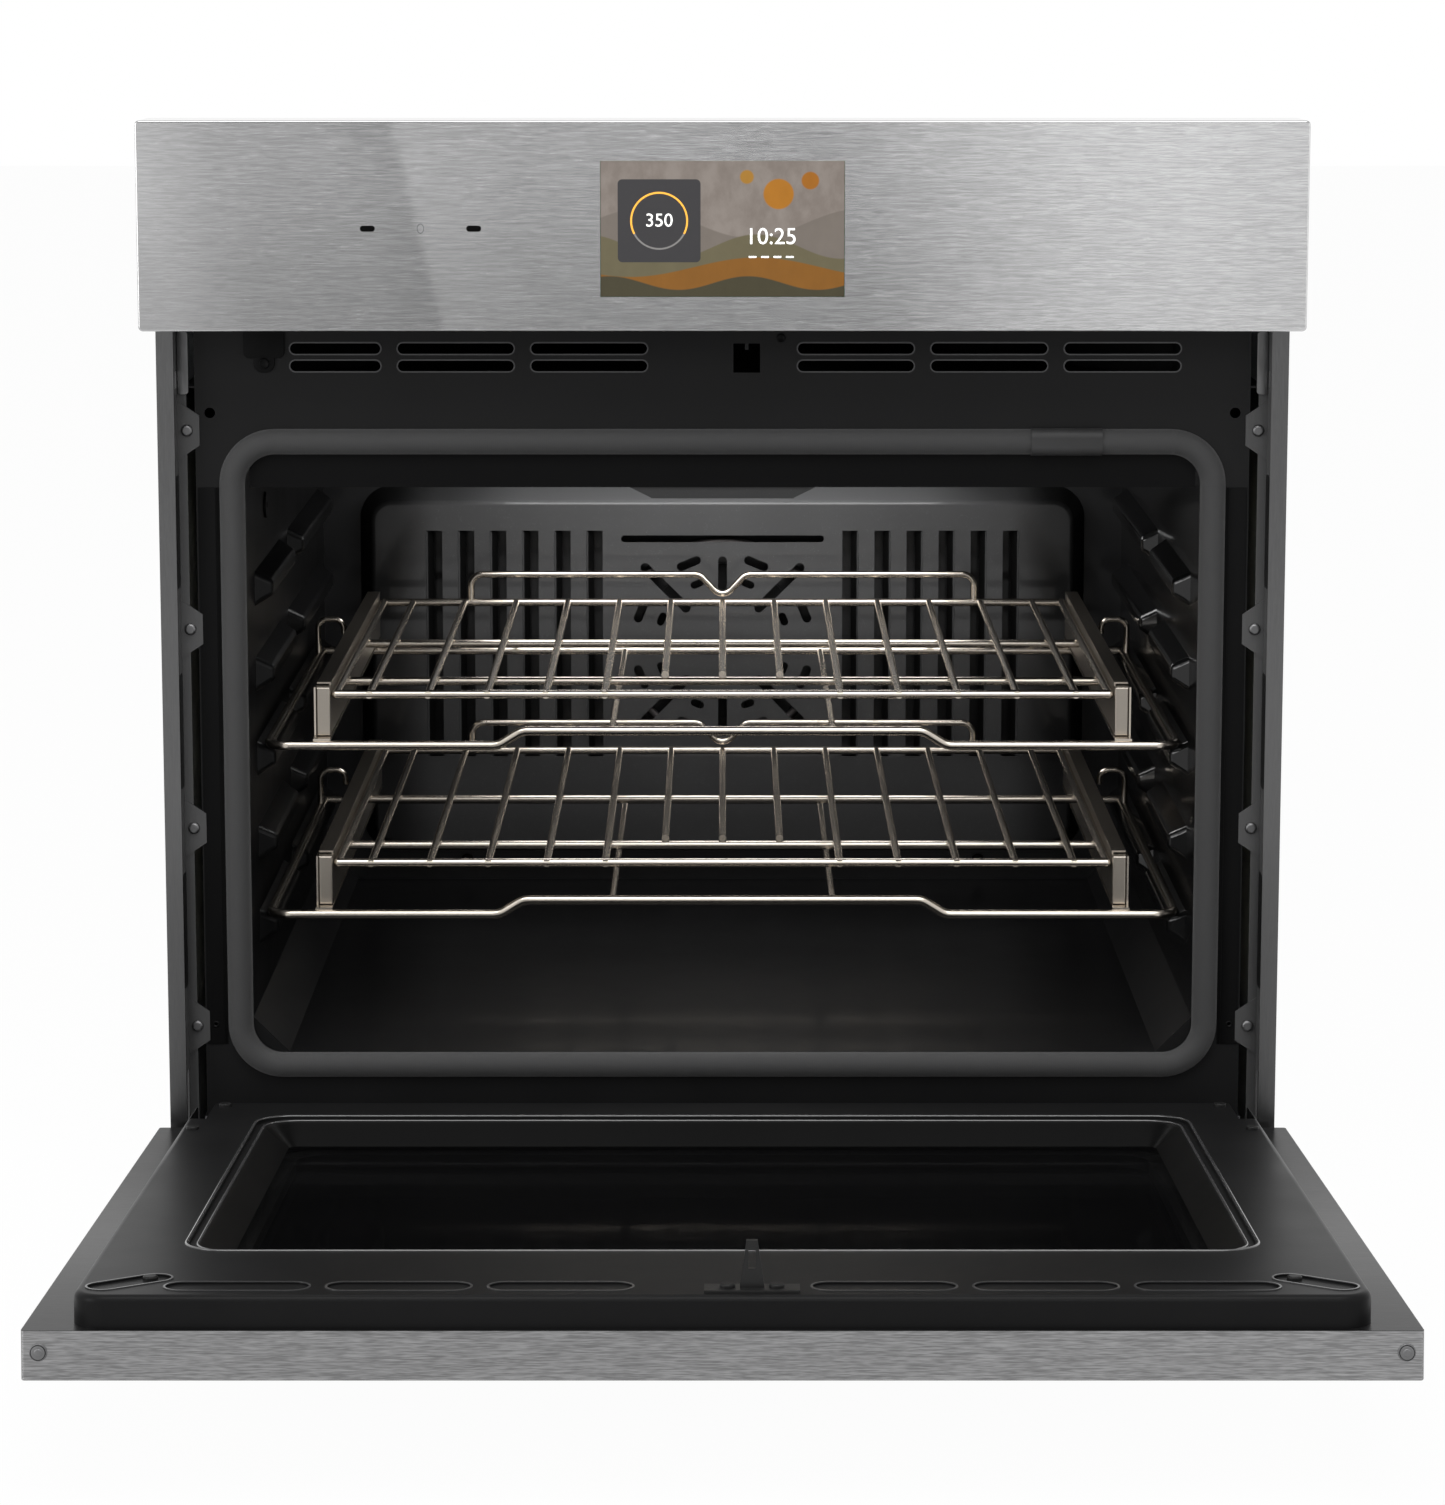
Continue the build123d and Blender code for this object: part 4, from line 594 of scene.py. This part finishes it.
def screw_head(bm, centre, radius, height, matrix, socket=True):
    """Domed head with a sunk socket, its foot on centre, turned by matrix from +Z."""
    keep = set(bm.verts)
    bmesh.ops.create_cone(bm, cap_ends=True, cap_tris=False, segments=sizes().socket_sides,
                          radius1=radius, radius2=radius, depth=height)
    verts = added(bm, keep)
    bmesh.ops.translate(bm, verts=verts, vec=(0, 0, height / 2))
    rim = [edge for edge in link_edges(verts) if all(vert.co.z > height * 0.9 for vert in edge.verts)]
    round_off(bm, rim, height * 0.55, 3)
    if socket:
        faces = {face for vert in added(bm, keep) for face in vert.link_faces}
        top = max(faces, key=lambda face: face.calc_center_median().z)
        bmesh.ops.inset_region(bm, faces=[top], thickness=radius * 0.35)
        bmesh.ops.translate(bm, verts=list(top.verts), vec=(0, 0, -height * 0.5))
    bmesh.ops.transform(bm, verts=added(bm, keep), matrix=Matrix.Translation(centre) @ matrix)


def sweep_round(bm, edges, right, low, high, foot):
    """Carry an open section, standing at the right-hand side, round a rectangle with round corners."""
    moves = (((0, 0, high - low), (right, 0, high)), ((-2 * right, 0, 0), (-right, 0, high)),
             ((0, 0, low - high), (-right, 0, low)), ((2 * right, 0, 0), (right, 0, low)))
    for run, pivot in moves:
        made = bmesh.ops.extrude_edge_only(bm, edges=edges)["geom"]
        bmesh.ops.translate(bm, verts=only(bmesh.types.BMVert, made), vec=run)
        edges = only(bmesh.types.BMEdge, made)
        turned = bmesh.ops.spin(bm, geom=edges, cent=(pivot[0], foot, pivot[2]), axis=(0, -1, 0),
                                angle=math.radians(90), steps=12, use_merge=False)["geom_last"]
        edges = only(bmesh.types.BMEdge, turned)
    bmesh.ops.remove_doubles(bm, verts=bm.verts, dist=1e-5)


def half_round(bm, width, depth, steps):
    """Open half-round section in X and Y that stands out towards -Y, or +Y for a negative depth."""
    bmesh.ops.create_circle(bm, cap_ends=False, segments=2 * steps, radius=width / 2)
    bmesh.ops.delete(bm, geom=[vert for vert in bm.verts if vert.co.y < -1e-6], context="VERTS")
    bmesh.ops.scale(bm, verts=bm.verts, vec=(1, -2 * depth / width, 1))


def slot_rim(bm, length, height, width, rise, matrix):
    """Raised ring round a slot with round ends, drawn in X and Y and moved by matrix."""
    keep = set(bm.verts)
    bmesh.ops.bevel(bm, geom=sheet(bm, length, height), offset=0.499 * height, offset_type="OFFSET",
                    segments=8, profile=0.5, affect="VERTICES", material=-1)
    plate = added(bm, keep)[0].link_faces[0]
    ring = bmesh.ops.inset_region(bm, faces=[plate], thickness=width, use_boundary=True,
                                  use_even_offset=True)["faces"]
    bmesh.ops.delete(bm, geom=[plate], context="FACES")
    raised = bmesh.ops.extrude_face_region(bm, geom=ring)["geom"]
    bmesh.ops.translate(bm, verts=only(bmesh.types.BMVert, raised), vec=(0, 0, rise))
    bmesh.ops.transform(bm, verts=added(bm, keep), matrix=matrix)


def mesh_of(name, bm):
    mesh = bpy.data.meshes.new(name)
    bm.to_mesh(mesh)
    bm.free()
    return mesh


def show(name, data):
    """Add an object to the scene."""
    made = bpy.data.objects.new(name, data)
    bpy.context.scene.collection.objects.link(made)
    return made


def make_piece(name, bm, material, body, smooth=35.0):
    """Turn a finished bmesh into a piece that rides on a body."""
    bmesh.ops.recalc_face_normals(bm, faces=bm.faces)
    return place_mesh(name, mesh_of(name, bm), material, body, smooth)


def place_mesh(name, mesh, material, body, smooth=35.0):
    """Show a mesh as a piece, smooth but for edges sharper than an angle in degrees."""
    mesh.materials.clear()
    mesh.materials.append(material)
    mesh.shade_smooth()
    mesh.set_sharp_from_angle(angle=math.radians(smooth))
    piece = show(name, mesh)
    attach(piece, body)
    return piece


def paint(material, *names):
    """Give CAD nodes a finish."""
    for name in names:
        mesh = NODES[name].data
        mesh.materials.clear()
        mesh.materials.append(material)


def lettering(name, text, height, place, material):
    """Flat numbers that lie on the screen, made a mesh before they are placed."""
    curve = bpy.data.curves.new(name, "FONT")
    curve.body = text
    curve.size = height
    curve.align_x = "CENTER"
    curve.align_y = "CENTER"
    curve.extrude = 0.02 * MM
    source = show(name + "_text", curve)
    bpy.context.view_layer.update()
    mesh = bpy.data.meshes.new_from_object(source.evaluated_get(bpy.context.evaluated_depsgraph_get()))
    bpy.data.objects.remove(source)
    mesh.transform(Matrix.Translation(place) @ FACING_FRONT)
    mesh.name = name
    place_mesh(name, mesh, material, "case")


# Operators
class PaintCase(Operator):
    """Finish the control panel, the front, the trims and the outer sheets"""

    bl_idname = "oven.paint_case"
    bl_label = "Paint case and front"

    def execute(self, context):
        tints = colours()
        paint(brushed("panel_steel", tints.steel, rough=0.24, contrast=0.14, coat=1.0, shade_paint=panel_painted_shade),
              "control_panel")
        paint(screen_picture(), "display_screen")
        paint(brushed("trim_steel", tints.trim, along=2, rough=0.30, contrast=0.06, shade_paint=trim_rear_shade,
                      satin=trim_inside),
              "left_side_trim", "right_side_trim", "bottom_trim")
        paint(enamel("frame_enamel", tints.frame_black, rough=0.42, coat=0.02, gleam=0.15, speckle=0.15),
              "front_frame")
        paint(enamel("valance_enamel", tone(tints.frame_black, 0.7), rough=0.5, coat=0.0, gleam=0.05),
              "top_valance")
        paint(zinc_sheet(), "base_pan", "left_side_panel", "right_side_panel", "top_cover", "rear_panel")
        # Painted shade: the duct parts seen through the air slots are near black to stand for the shade
        # inside them.
        paint(coated("duct_shade_black", (0.008, 0.008, 0.0085), rough=0.6),
              "service_shelf", "blower_housing", "panel_bracket", "latch_bracket", "latch_hook")
        paint(coated("rivet_steel", (0.14, 0.14, 0.142), rough=0.42, metallic=1.0, wear=0.1), "trim_rivets")
        paint(coated("screw_zinc", (0.40, 0.40, 0.41), rough=0.28, metallic=1.0, wear=0.1), "case_screws")
        paint(coated("hinge_steel", (0.27, 0.275, 0.28), rough=0.38, metallic=1.0),
              "hinge_arms", "hinge_receivers", "hinge_channels", "hinge_pins")
        paint(coated("black_plastic", (0.02, 0.02, 0.021), rough=0.5), "conduit_gland", "blower_wheel")
        paint(coated("motor_paint", (0.06, 0.06, 0.065), rough=0.45), "fan_motor", "blower_motor")
        paint(circuit_board(), "control_board", "power_board")
        paint(blanket(), "insulation")
        return {"FINISHED"}


class PaintCavity(Operator):
    """Finish the cavity, its elements, its lamp and its fan"""

    bl_idname = "oven.paint_cavity"
    bl_label = "Paint cavity"

    def execute(self, context):
        tints = colours()
        # Tone copies of one cavity enamel: the side walls darker as painted shade, the rear wall lighter as
        # painted light.
        paint(enamel("cavity_enamel", tints.cavity, rough=0.3, coat=0.15, gleam=0.15),
              "cavity_floor", "cavity_ceiling")
        paint(enamel("right_wall_shade_enamel", tone(tints.cavity, 0.6), rough=0.22, coat=0.5, gleam=0.12),
              "cavity_right_wall")
        paint(enamel("left_wall_shade_enamel", tone(tints.cavity, 0.7), rough=0.3, coat=0.05, gleam=0.08),
              "cavity_left_wall", "probe_jack")
        paint(enamel("rear_wall_light_enamel", tone(tints.cavity, 2.0), rough=0.3, coat=0.15), "cavity_rear_wall")
        paint(enamel("cover_enamel", tints.cover, rough=0.3, coat=0.3, shade_mask=cover_shade, painted_light=cover_top_light),
              "convection_cover")
        paint(coated("element_sheath", (0.06, 0.055, 0.055), rough=0.5, metallic=0.8),
              "ring_element", "broil_element", "bake_element")
        paint(coated("fan_steel", (0.012, 0.012, 0.012), rough=0.5, gleam=0.1), "convection_fan")
        paint(coated("sensor_steel", (0.45, 0.44, 0.42), rough=0.3, metallic=1.0), "temperature_sensor")
        paint(lamp_glass(), "lamp_lens", "lamp_bulb")
        paint(unglazed(), "lamp_holder")
        return {"FINISHED"}


class PaintRacks(Operator):
    """Finish the racks, their frames and their rails"""

    bl_idname = "oven.paint_racks"
    bl_label = "Paint racks"

    def execute(self, context):
        wire = colours().wire
        paint(drawn_steel("rack_wire", wire), "rack_frames", "upper_rack_grid", "lower_rack_grid")
        paint(drawn_steel("rail_steel", tone(wire, 0.7), rough=0.3), "upper_rack_rails", "lower_rack_rails")
        return {"FINISHED"}


class PaintDoor(Operator):
    """Finish the door's tray, liner, panes and small parts"""

    bl_idname = "oven.paint_door"
    bl_label = "Paint door"

    def execute(self, context):
        tints = colours()
        # Painted shade: the door's steel is the panel's steel at half its tone.
        paint(brushed("door_steel", tone(tints.steel, 0.5), rough=0.30, contrast=0.30, painted=tray_rim),
              "door_tray")
        paint(enamel("liner_enamel", tints.liner, rough=0.34, coat=0.0, gleam=0.06, speckle=0.25,
                     shade_mask=funnel_shade), "door_liner")
        paint(tinted_pane("door_pane", (0.004, 0.004, 0.0042), cover=0.42, gleam=0.005), "inner_glass")
        paint(tinted_pane("inner_pane", (0.003, 0.003, 0.0032), cover=0.35, gleam=0.004), "middle_glass")
        paint(dark_pane(), "outer_glass")
        paint(coated("black_steel", (0.009, 0.009, 0.009), rough=0.4, gleam=0.15),
              "glass_frame", "door_screws")
        paint(coated("strike_steel", (0.007, 0.007, 0.007), rough=0.34, gleam=0.3), "door_strike")
        return {"FINISHED"}


class MakeGasket(Operator):
    """Weave the seal round the cavity mouth"""

    bl_idname = "oven.make_gasket"
    bl_label = "Make gasket"

    def execute(self, context):
        width, corner = sizes().gasket_width, sizes().gasket_corner
        foot, right = GASKET_HIGH.y, GASKET_HIGH.x - corner
        low, high = GASKET_LOW.z + corner, GASKET_HIGH.z - corner
        bm = bmesh.new()
        half_round(bm, width, foot - GASKET_LOW.y, 14)
        move_all(bm, Matrix.Translation((GASKET_HIGH.x - width / 2, foot, low)))
        sweep_round(bm, list(bm.edges), right, low, high, foot)
        self.map_run(bm, right, low, high, foot, corner - width / 2)
        weave = woven("gasket_weave", colours().gasket)
        piece = make_piece("woven_gasket", bm, weave, "case", 80.0)
        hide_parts("door_gasket")
        paint(coated("gasket_cover", tone(colours().gasket, 0.9), rough=0.5), "gasket_sleeve")
        return {"FINISHED"}

    def map_run(self, bm, right, low, high, foot, bend):
        """Map the length along the seal and the girth across it, in metres."""
        layer = bm.loops.layers.uv.new("run")
        middle, half = Vector((0, 0, (low + high) / 2)), (high - low) / 2
        for face in bm.faces:
            for loop in face.loops:
                point = loop.vert.co - middle
                core = Vector((max(-right, min(right, point.x)), 0, max(-half, min(half, point.z))))
                out = Vector((point.x - core.x, 0, point.z - core.z))
                if abs(out.x) < 1e-6 or abs(out.z) < 1e-6:
                    along = point.x if abs(out.x) < 1e-6 else point.z
                else:
                    along = core.x + core.z + math.atan2(abs(out.z), abs(out.x)) * bend
                loop[layer].uv = (along, math.atan2(out.length - bend, foot - point.y) * bend)


class MakePanelMarks(Operator):
    """Set the sensor windows and the small ring into the control panel"""

    bl_idname = "oven.make_panel_marks"
    bl_label = "Make panel marks"

    def execute(self, context):
        length, height = sizes().window_length, sizes().window_height
        level = MARK_LEVEL * MM
        bm = bmesh.new()
        for middle in WINDOW_MIDDLES:
            left, right = middle * MM - length / 2, middle * MM + length / 2
            slab(bm, (left, PANEL_FACE - 0.15 * MM, level - height / 2),
                 (right, PANEL_FACE + 0.8 * MM, level + height / 2), height * 0.49, 0.1 * MM)
        make_piece("sensor_windows", bm, print_and_shadow_black(), "case")
        bm = bmesh.new()
        bmesh.ops.create_circle(bm, cap_ends=False, segments=8, radius=0.2 * MM)
        move_all(bm, FACING_FRONT @ Matrix.Translation((2.1 * MM, 0, 0)))
        bmesh.ops.spin(bm, geom=list(bm.edges), cent=(0, 0, 0), axis=(0, 0, 1), angle=math.radians(360),
                       steps=40, use_merge=True)
        bmesh.ops.remove_doubles(bm, verts=bm.verts, dist=1e-6)
        bmesh.ops.scale(bm, verts=bm.verts, vec=(1, 1.4, 1))
        move_all(bm, Matrix.Translation((RING_MIDDLE * MM, PANEL_FACE, level)) @ FACING_FRONT)
        make_piece("panel_ring", bm, coated("ring_print", (0.10, 0.10, 0.105), rough=0.4, gleam=0.1),
                   "case", 80.0)
        return {"FINISHED"}


class MakeScreen(Operator):
    """Lay the card, the dial and the clock on the screen"""

    bl_idname = "oven.make_screen"
    bl_label = "Make screen"

    def execute(self, context):
        left, face, foot = SCREEN_LOW
        wide, high = SCREEN_HIGH.x - left, SCREEN_HIGH.z - foot
        card, level, half, dial = left + 0.24 * wide, foot + 0.56 * high, 0.17 * wide, 0.115 * wide
        lit = glowing("screen_white", (0.9, 0.9, 0.88), 0.8)
        amber = glowing("screen_amber", (0.78, 0.36, 0.05), 0.8)
        bm = bmesh.new()
        slab(bm, (card - half, face - 0.03 * MM, level - half), (card + half, face + 0.2 * MM, level + half),
             3 * MM, 0)
        dark = glowing("screen_card", (0.035, 0.034, 0.036), 0.5)
        make_piece("screen_card", bm, dark, "case")
        self.ring("screen_dial", card, level, dial, 1.1 * MM, 360.0, face,
                  glowing("screen_grey", (0.16, 0.155, 0.15), 0.7))
        self.ring("screen_dial_lit", card, level, dial, 1.2 * MM, 235.0, face - 0.02 * MM, amber)
        lettering("screen_dial_number", sizes().dial_text, 12 * MM, (card, face - 0.05 * MM, level), lit)
        clock = Vector((left + 0.70 * wide, face - 0.03 * MM, foot + 0.44 * high))
        lettering("screen_clock", sizes().clock_text, sizes().clock_height, clock, lit)
        bm = bmesh.new()
        for step in (-1.5, -0.5, 0.5, 1.5):
            x = clock.x + step * 8 * MM
            slab(bm, (x - 2.6 * MM, face - 0.04 * MM, clock.z - 13.4 * MM),
                 (x + 2.6 * MM, face + 0.1 * MM, clock.z - 12.2 * MM), 0.55 * MM, 0)
        make_piece("screen_bars", bm, lit, "case")
        return {"FINISHED"}

    def ring(self, name, x, z, radius, width, sweep, face, material):
        """Flat ring, or part of one that is open at the foot, that lies on the screen."""
        bm = bmesh.new()
        sheet(bm, width, 0.05 * MM)
        move_all(bm, FACING_FRONT @ Matrix.Translation((radius, 0, 0)))
        bmesh.ops.delete(bm, geom=list(bm.faces), context="FACES_ONLY")
        bmesh.ops.spin(bm, geom=list(bm.edges), cent=(0, 0, 0), axis=(0, 0, 1), angle=math.radians(sweep),
                       steps=64, use_merge=sweep >= 360)
        bmesh.ops.remove_doubles(bm, verts=bm.verts, dist=1e-7)
        bmesh.ops.holes_fill(bm, edges=[edge for edge in bm.edges if edge.is_boundary], sides=4)
        turn = Matrix.Rotation(math.radians(90 - sweep / 2), 4, "Z")
        move_all(bm, Matrix.Translation((x, face - 0.05 * MM, z)) @ FACING_FRONT @ turn)
        make_piece(name, bm, material, "case")


class MakeFrameFittings(Operator):
    """Fix the side strips, the lips of the air slots, the tongue bracket and the screws"""

    bl_idname = "oven.make_frame_fittings"
    bl_label = "Make frame fittings"

    def execute(self, context):
        black = coated("fitting_black", (0.003, 0.003, 0.0031), rough=0.5, wear=0.1, gleam=0.08)
        self.side_strips()
        self.vent_rims()
        bm = bmesh.new()
        for left, right, foot, head, lift, corner in TONGUE_PLATES:
            slab(bm, (left * MM, FRAME_FACE - lift * MM, foot * MM), (right * MM, FRAME_FACE, head * MM),
                 corner * MM, 0.6 * MM)
        make_piece("tongue_bracket", bm, black, "case")
        bm = bmesh.new()
        for x, z, radius, lift in FRAME_SCREWS:
            seat = Vector((x * MM, FRAME_FACE - lift * MM, z * MM))
            screw_head(bm, seat, radius * MM, 1.4 * MM, FACING_FRONT)
        make_piece("frame_screws", bm, black, "case")
        bm = bmesh.new()
        for x in REAR_SCREW_MIDDLES:
            seat = Vector((x * MM, REAR_WALL_FACE, REAR_SCREW_LEVEL * MM))
            screw_head(bm, seat, 5.5 * MM, 3.0 * MM, FACING_FRONT)
        make_piece("rear_wall_screws", bm, black, "case")
        return {"FINISHED"}

    def side_strips(self):
        """Plain strips beside the mouth, and black sheets between them and the seal as painted shadow in the
        gap.
        """
        strips, gap_shadows = bmesh.new(), bmesh.new()
        both_sides(strips, *SIDE_STRIP, 0.8, 0.3)
        both_sides(gap_shadows, *STRIP_SHADOW, 0.3, 0)
        dull = enamel("strip_enamel", tone(colours().frame_black, 0.6), rough=0.45, coat=0.0, gleam=0.06)
        make_piece("side_strips", strips, dull, "case")
        make_piece("strip_gap_shadows", gap_shadows, print_and_shadow_black(), "case")

    def vent_rims(self):
        """Raised lips round the air slots, lighter than the frame as painted highlight."""
        bm = bmesh.new()
        for row in VENT_ROWS:
            for centre, length in VENTS:
                place = Matrix.Translation((centre * MM, FRAME_FACE, row * MM)) @ FACING_FRONT
                slot_rim(bm, (length + 1.8) * MM, 8.8 * MM, 0.9 * MM, 0.45 * MM, place)
        lip = enamel("vent_lip_highlight", tone(colours().frame_black, 7.0), rough=0.3, coat=0.2, gleam=0.5)
        make_piece("vent_rims", bm, lip, "case")


class MakeValanceLip(Operator):
    """Hang the shallow lip behind the middle of the valance"""

    bl_idname = "oven.make_valance_lip"
    bl_label = "Make valance lip"

    def execute(self, context):
        low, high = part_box("top_valance")
        half, lap, drop, taper = 65 * MM, 2 * MM, 7.7 * MM, 0.73
        bm = bmesh.new()
        slab(bm, (-half, high.y, low.z - drop), (half, high.y + 1 * MM, low.z + lap), 0.5 * MM, 0)
        foot = [vert for vert in bm.verts if vert.co.z < low.z]
        bmesh.ops.scale(bm, verts=foot, vec=(taper, 1, 1))
        lip = enamel("lip_enamel", (0.034, 0.034, 0.0345), rough=0.4)
        make_piece("valance_lip", bm, lip, "case")
        return {"FINISHED"}


class MakeDoorFittings(Operator):
    """Set steel screws into the edge of the door, and beads and rims on its inner face"""

    bl_idname = "oven.make_door_fittings"
    bl_label = "Make door fittings"

    def execute(self, context):
        bm = bmesh.new()
        for x in EDGE_SCREW_MIDDLES:
            seat = Vector((x * MM, EDGE_SCREW_DEPTH * MM, EDGE_SCREW_LEVEL * MM))
            for radius, height in EDGE_SCREW_RINGS:
                screw_head(bm, seat, radius * MM, height * MM, FACING_UP, socket=False)
        move_all(bm, DOOR_OPEN)
        steel = coated("edge_screw_steel", (0.16, 0.16, 0.163), rough=0.5, metallic=1.0, wear=0.1)
        make_piece("edge_screws", bm, steel, "door")
        # Painted highlight: the beads and the slot rims are six times lighter than the liner.
        bead_highlight = enamel("rim_enamel", tone(colours().liner, 6.0), rough=0.22, coat=0.6, gleam=0.5)
        for name, half, low, high, corner, depth in WINDOW_BEADS:
            self.bead(name, half * MM, low * MM, high * MM, corner * MM, LINER_FACE - depth * MM, bead_highlight)
        bm = bmesh.new()
        for side in (-1, 1):
            for across, up, length, height, turn in LINER_SLOTS:
                place = Matrix.Translation((side * across * MM, LINER_FACE, up * MM)) @ FACING_REAR
                place = place @ Matrix.Rotation(math.radians(-side * turn), 4, "Z")
                slot_rim(bm, length * MM, height * MM, 1.2 * MM, 0.5 * MM, place)
        move_all(bm, DOOR_OPEN)
        painted_light = enamel("slot_rim_enamel", tone(colours().liner, 6.0), rough=0.3, coat=0.3, gleam=0.4)
        make_piece("liner_rims", bm, painted_light, "door")
        return {"FINISHED"}

    def bead(self, name, half, low, high, corner, foot, material):
        """Thin half-round bead along the edge of the door window."""
        bm = bmesh.new()
        half_round(bm, 2 * MM, -0.7 * MM, 6)
        move_all(bm, Matrix.Translation((half, foot, low + corner)))
        sweep_round(bm, list(bm.edges), half - corner, low + corner, high - corner, foot)
        move_all(bm, DOOR_OPEN)
        make_piece(name, bm, material, "door", 80.0)


class MakeTrimClips(Operator):
    """Hang the top clips between the trims and the frame, and put black sheets in the trims' windows as
    painted shadow
    """

    bl_idname = "oven.make_trim_clips"
    bl_label = "Make trim clips"

    def execute(self, context):
        bm = bmesh.new()
        both_sides(bm, *TRIM_CLIP, 2.4, 0.5)
        steel = brushed("clip_steel", colours().trim, along=2, rough=0.3, contrast=0.06)
        make_piece("trim_clips", bm, steel, "case")
        bm = bmesh.new()
        # Each black sheet is painted shadow in a trim's window.
        for seal in TRIM_WINDOW_SHADOWS:
            both_sides(bm, *seal, 3, 0, axis=0)
        make_piece("trim_window_shadows", bm, print_and_shadow_black(), "case")
        return {"FINISHED"}


class MakeStage(Operator):
    """Set up the floor, the lights, the white surround and the camera"""

    bl_idname = "oven.make_stage"
    bl_label = "Make stage"

    def execute(self, context):
        scene = context.scene
        scene.view_settings.view_transform = "Standard"
        self.floor()
        self.world(scene)
        self.reflector()
        for row in LAMPS:
            self.lamp(*row)
        self.camera(scene)
        return {"FINISHED"}

    def card(self, name, wide, high, matrix, finish):
        """Flat sheet that belongs to the stage."""
        bm = bmesh.new()
        sheet(bm, wide, high)
        move_all(bm, matrix)
        mesh = mesh_of(name, bm)
        mesh.materials.append(finish.owner)
        card = show(name, mesh)
        return card

    def seen(self, finish):
        """One for the camera and for what shows in metal and glass."""
        camera, glossy, through = (finish.add("ShaderNodeLightPath", output=f"Is {ray} Ray")
                                   for ray in ("Camera", "Glossy", "Transmission"))
        return camera.larger(glossy).larger(through)

    def floor(self):
        """Pale floor that the camera sees as white, with a trace of the shadow."""
        finish = Finish("floor_white")
        base = finish.mix(finish.noise(40.0, 2.0), (0.80, 0.80, 0.80), (0.84, 0.84, 0.84))
        matt = finish.add("ShaderNodeBsdfDiffuse", {}, {"Color": base})
        lit = finish.add("ShaderNodeEmission", {}, {"Color": (1, 1, 1, 1), "Strength": 1.0})
        seen = self.seen(finish) * 0.97
        finish.add_output(finish.add("ShaderNodeMixShader", {}, {0: seen, 1: matt, 2: lit}))
        self.card("floor", 28.0, 28.0, Matrix.Identity(4), finish)

    def reflector(self):
        """Shaded wall behind the camera that only reflections see."""
        half_width, high, back = 0.9, 2.4, -3.35
        slant, middle = 0.242, 0.47
        finish = Finish("reflector")
        across, _, up = finish.axes()
        share = (across + (up - middle) * slant + half_width) / (2 * half_width)
        shade = finish.ramp(share, REFLECTOR_BANDS)
        shade = finish.mix((1 - up.eased(0.30, 0.60)) * 0.3, shade, (0, 0, 0))
        finish.add_output(finish.add("ShaderNodeEmission", {}, {"Color": shade, "Strength": 1.0}))
        place = Matrix.Translation((0, back, high / 2 + 0.01)) @ FACING_FRONT
        card = self.card("reflector", 2 * half_width, high, place, finish)
        card.visible_camera = False
        card.visible_shadow = False
        card.visible_diffuse = False

    def world(self, scene):
        """White surround that lights the object softly."""
        sky = Finish("studio", "worlds")
        level = sky.add("ShaderNodeMapRange", {}, {"Value": self.seen(sky), "To Min": 0.32, "To Max": 1.0})
        back = sky.add("ShaderNodeBackground", {}, {"Color": (1, 1, 1, 1), "Strength": level})
        sky.add_output(back, "ShaderNodeOutputWorld")
        scene.world = sky.owner

    def lamp(self, name, place, target, size, power):
        """Rectangular lamp that the camera doesn't see."""
        light = bpy.data.lights.new(name, "AREA")
        light.shape = "RECTANGLE"
        light.size, light.size_y = size
        light.energy = power
        lamp = show(name, light)
        lamp.location = place
        lamp.rotation_euler = (Vector(target) - Vector(place)).to_track_quat("-Z", "Y").to_euler()
        lamp.visible_camera = False

    def camera(self, scene):
        """Camera ahead of the oven, tilted down."""
        tilt = math.radians(8.27)
        data = bpy.data.cameras.new("camera")
        data.lens = 101.17
        data.sensor_width = 36.0
        data.shift_y = -0.12
        data.clip_end = 100.0
        camera = show("camera", data)
        camera.location = (0.0, -3.0807, 0.8308)
        camera.rotation_euler = Euler((math.radians(90) - tilt, 0, 0))
        scene.camera = camera


OPERATORS = (PaintCase, PaintCavity, PaintRacks, PaintDoor, MakeGasket, MakePanelMarks, MakeScreen,
             MakeFrameFittings, MakeValanceLip, MakeDoorFittings, MakeTrimClips, MakeStage)


class OvenPanel(Panel):
    """Lists the steps that dress the oven."""

    bl_idname = "VIEW3D_PT_wall_oven"
    bl_label = "Wall oven"
    bl_space_type = "VIEW_3D"
    bl_region_type = "UI"
    bl_category = "Wall oven"

    def draw(self, context):
        for group in (context.scene.oven_sizes, context.scene.oven_colours):
            for name in group.__annotations__:
                self.layout.prop(group, name)
        for operator in OPERATORS:
            self.layout.operator(operator.bl_idname)


CLASSES = (OvenSizes, OvenColours, *OPERATORS, OvenPanel)


def register():
    for item in CLASSES:
        bpy.utils.register_class(item)
    bpy.types.Scene.oven_sizes = PointerProperty(type=OvenSizes)
    bpy.types.Scene.oven_colours = PointerProperty(type=OvenColours)


def unregister():
    del bpy.types.Scene.oven_colours
    del bpy.types.Scene.oven_sizes
    for item in reversed(CLASSES):
        bpy.utils.unregister_class(item)


def main():
    register()
    for operator in OPERATORS:
        group, name = operator.bl_idname.split(".")
        getattr(getattr(bpy.ops, group), name)()


if __name__ == "__main__":
    main()
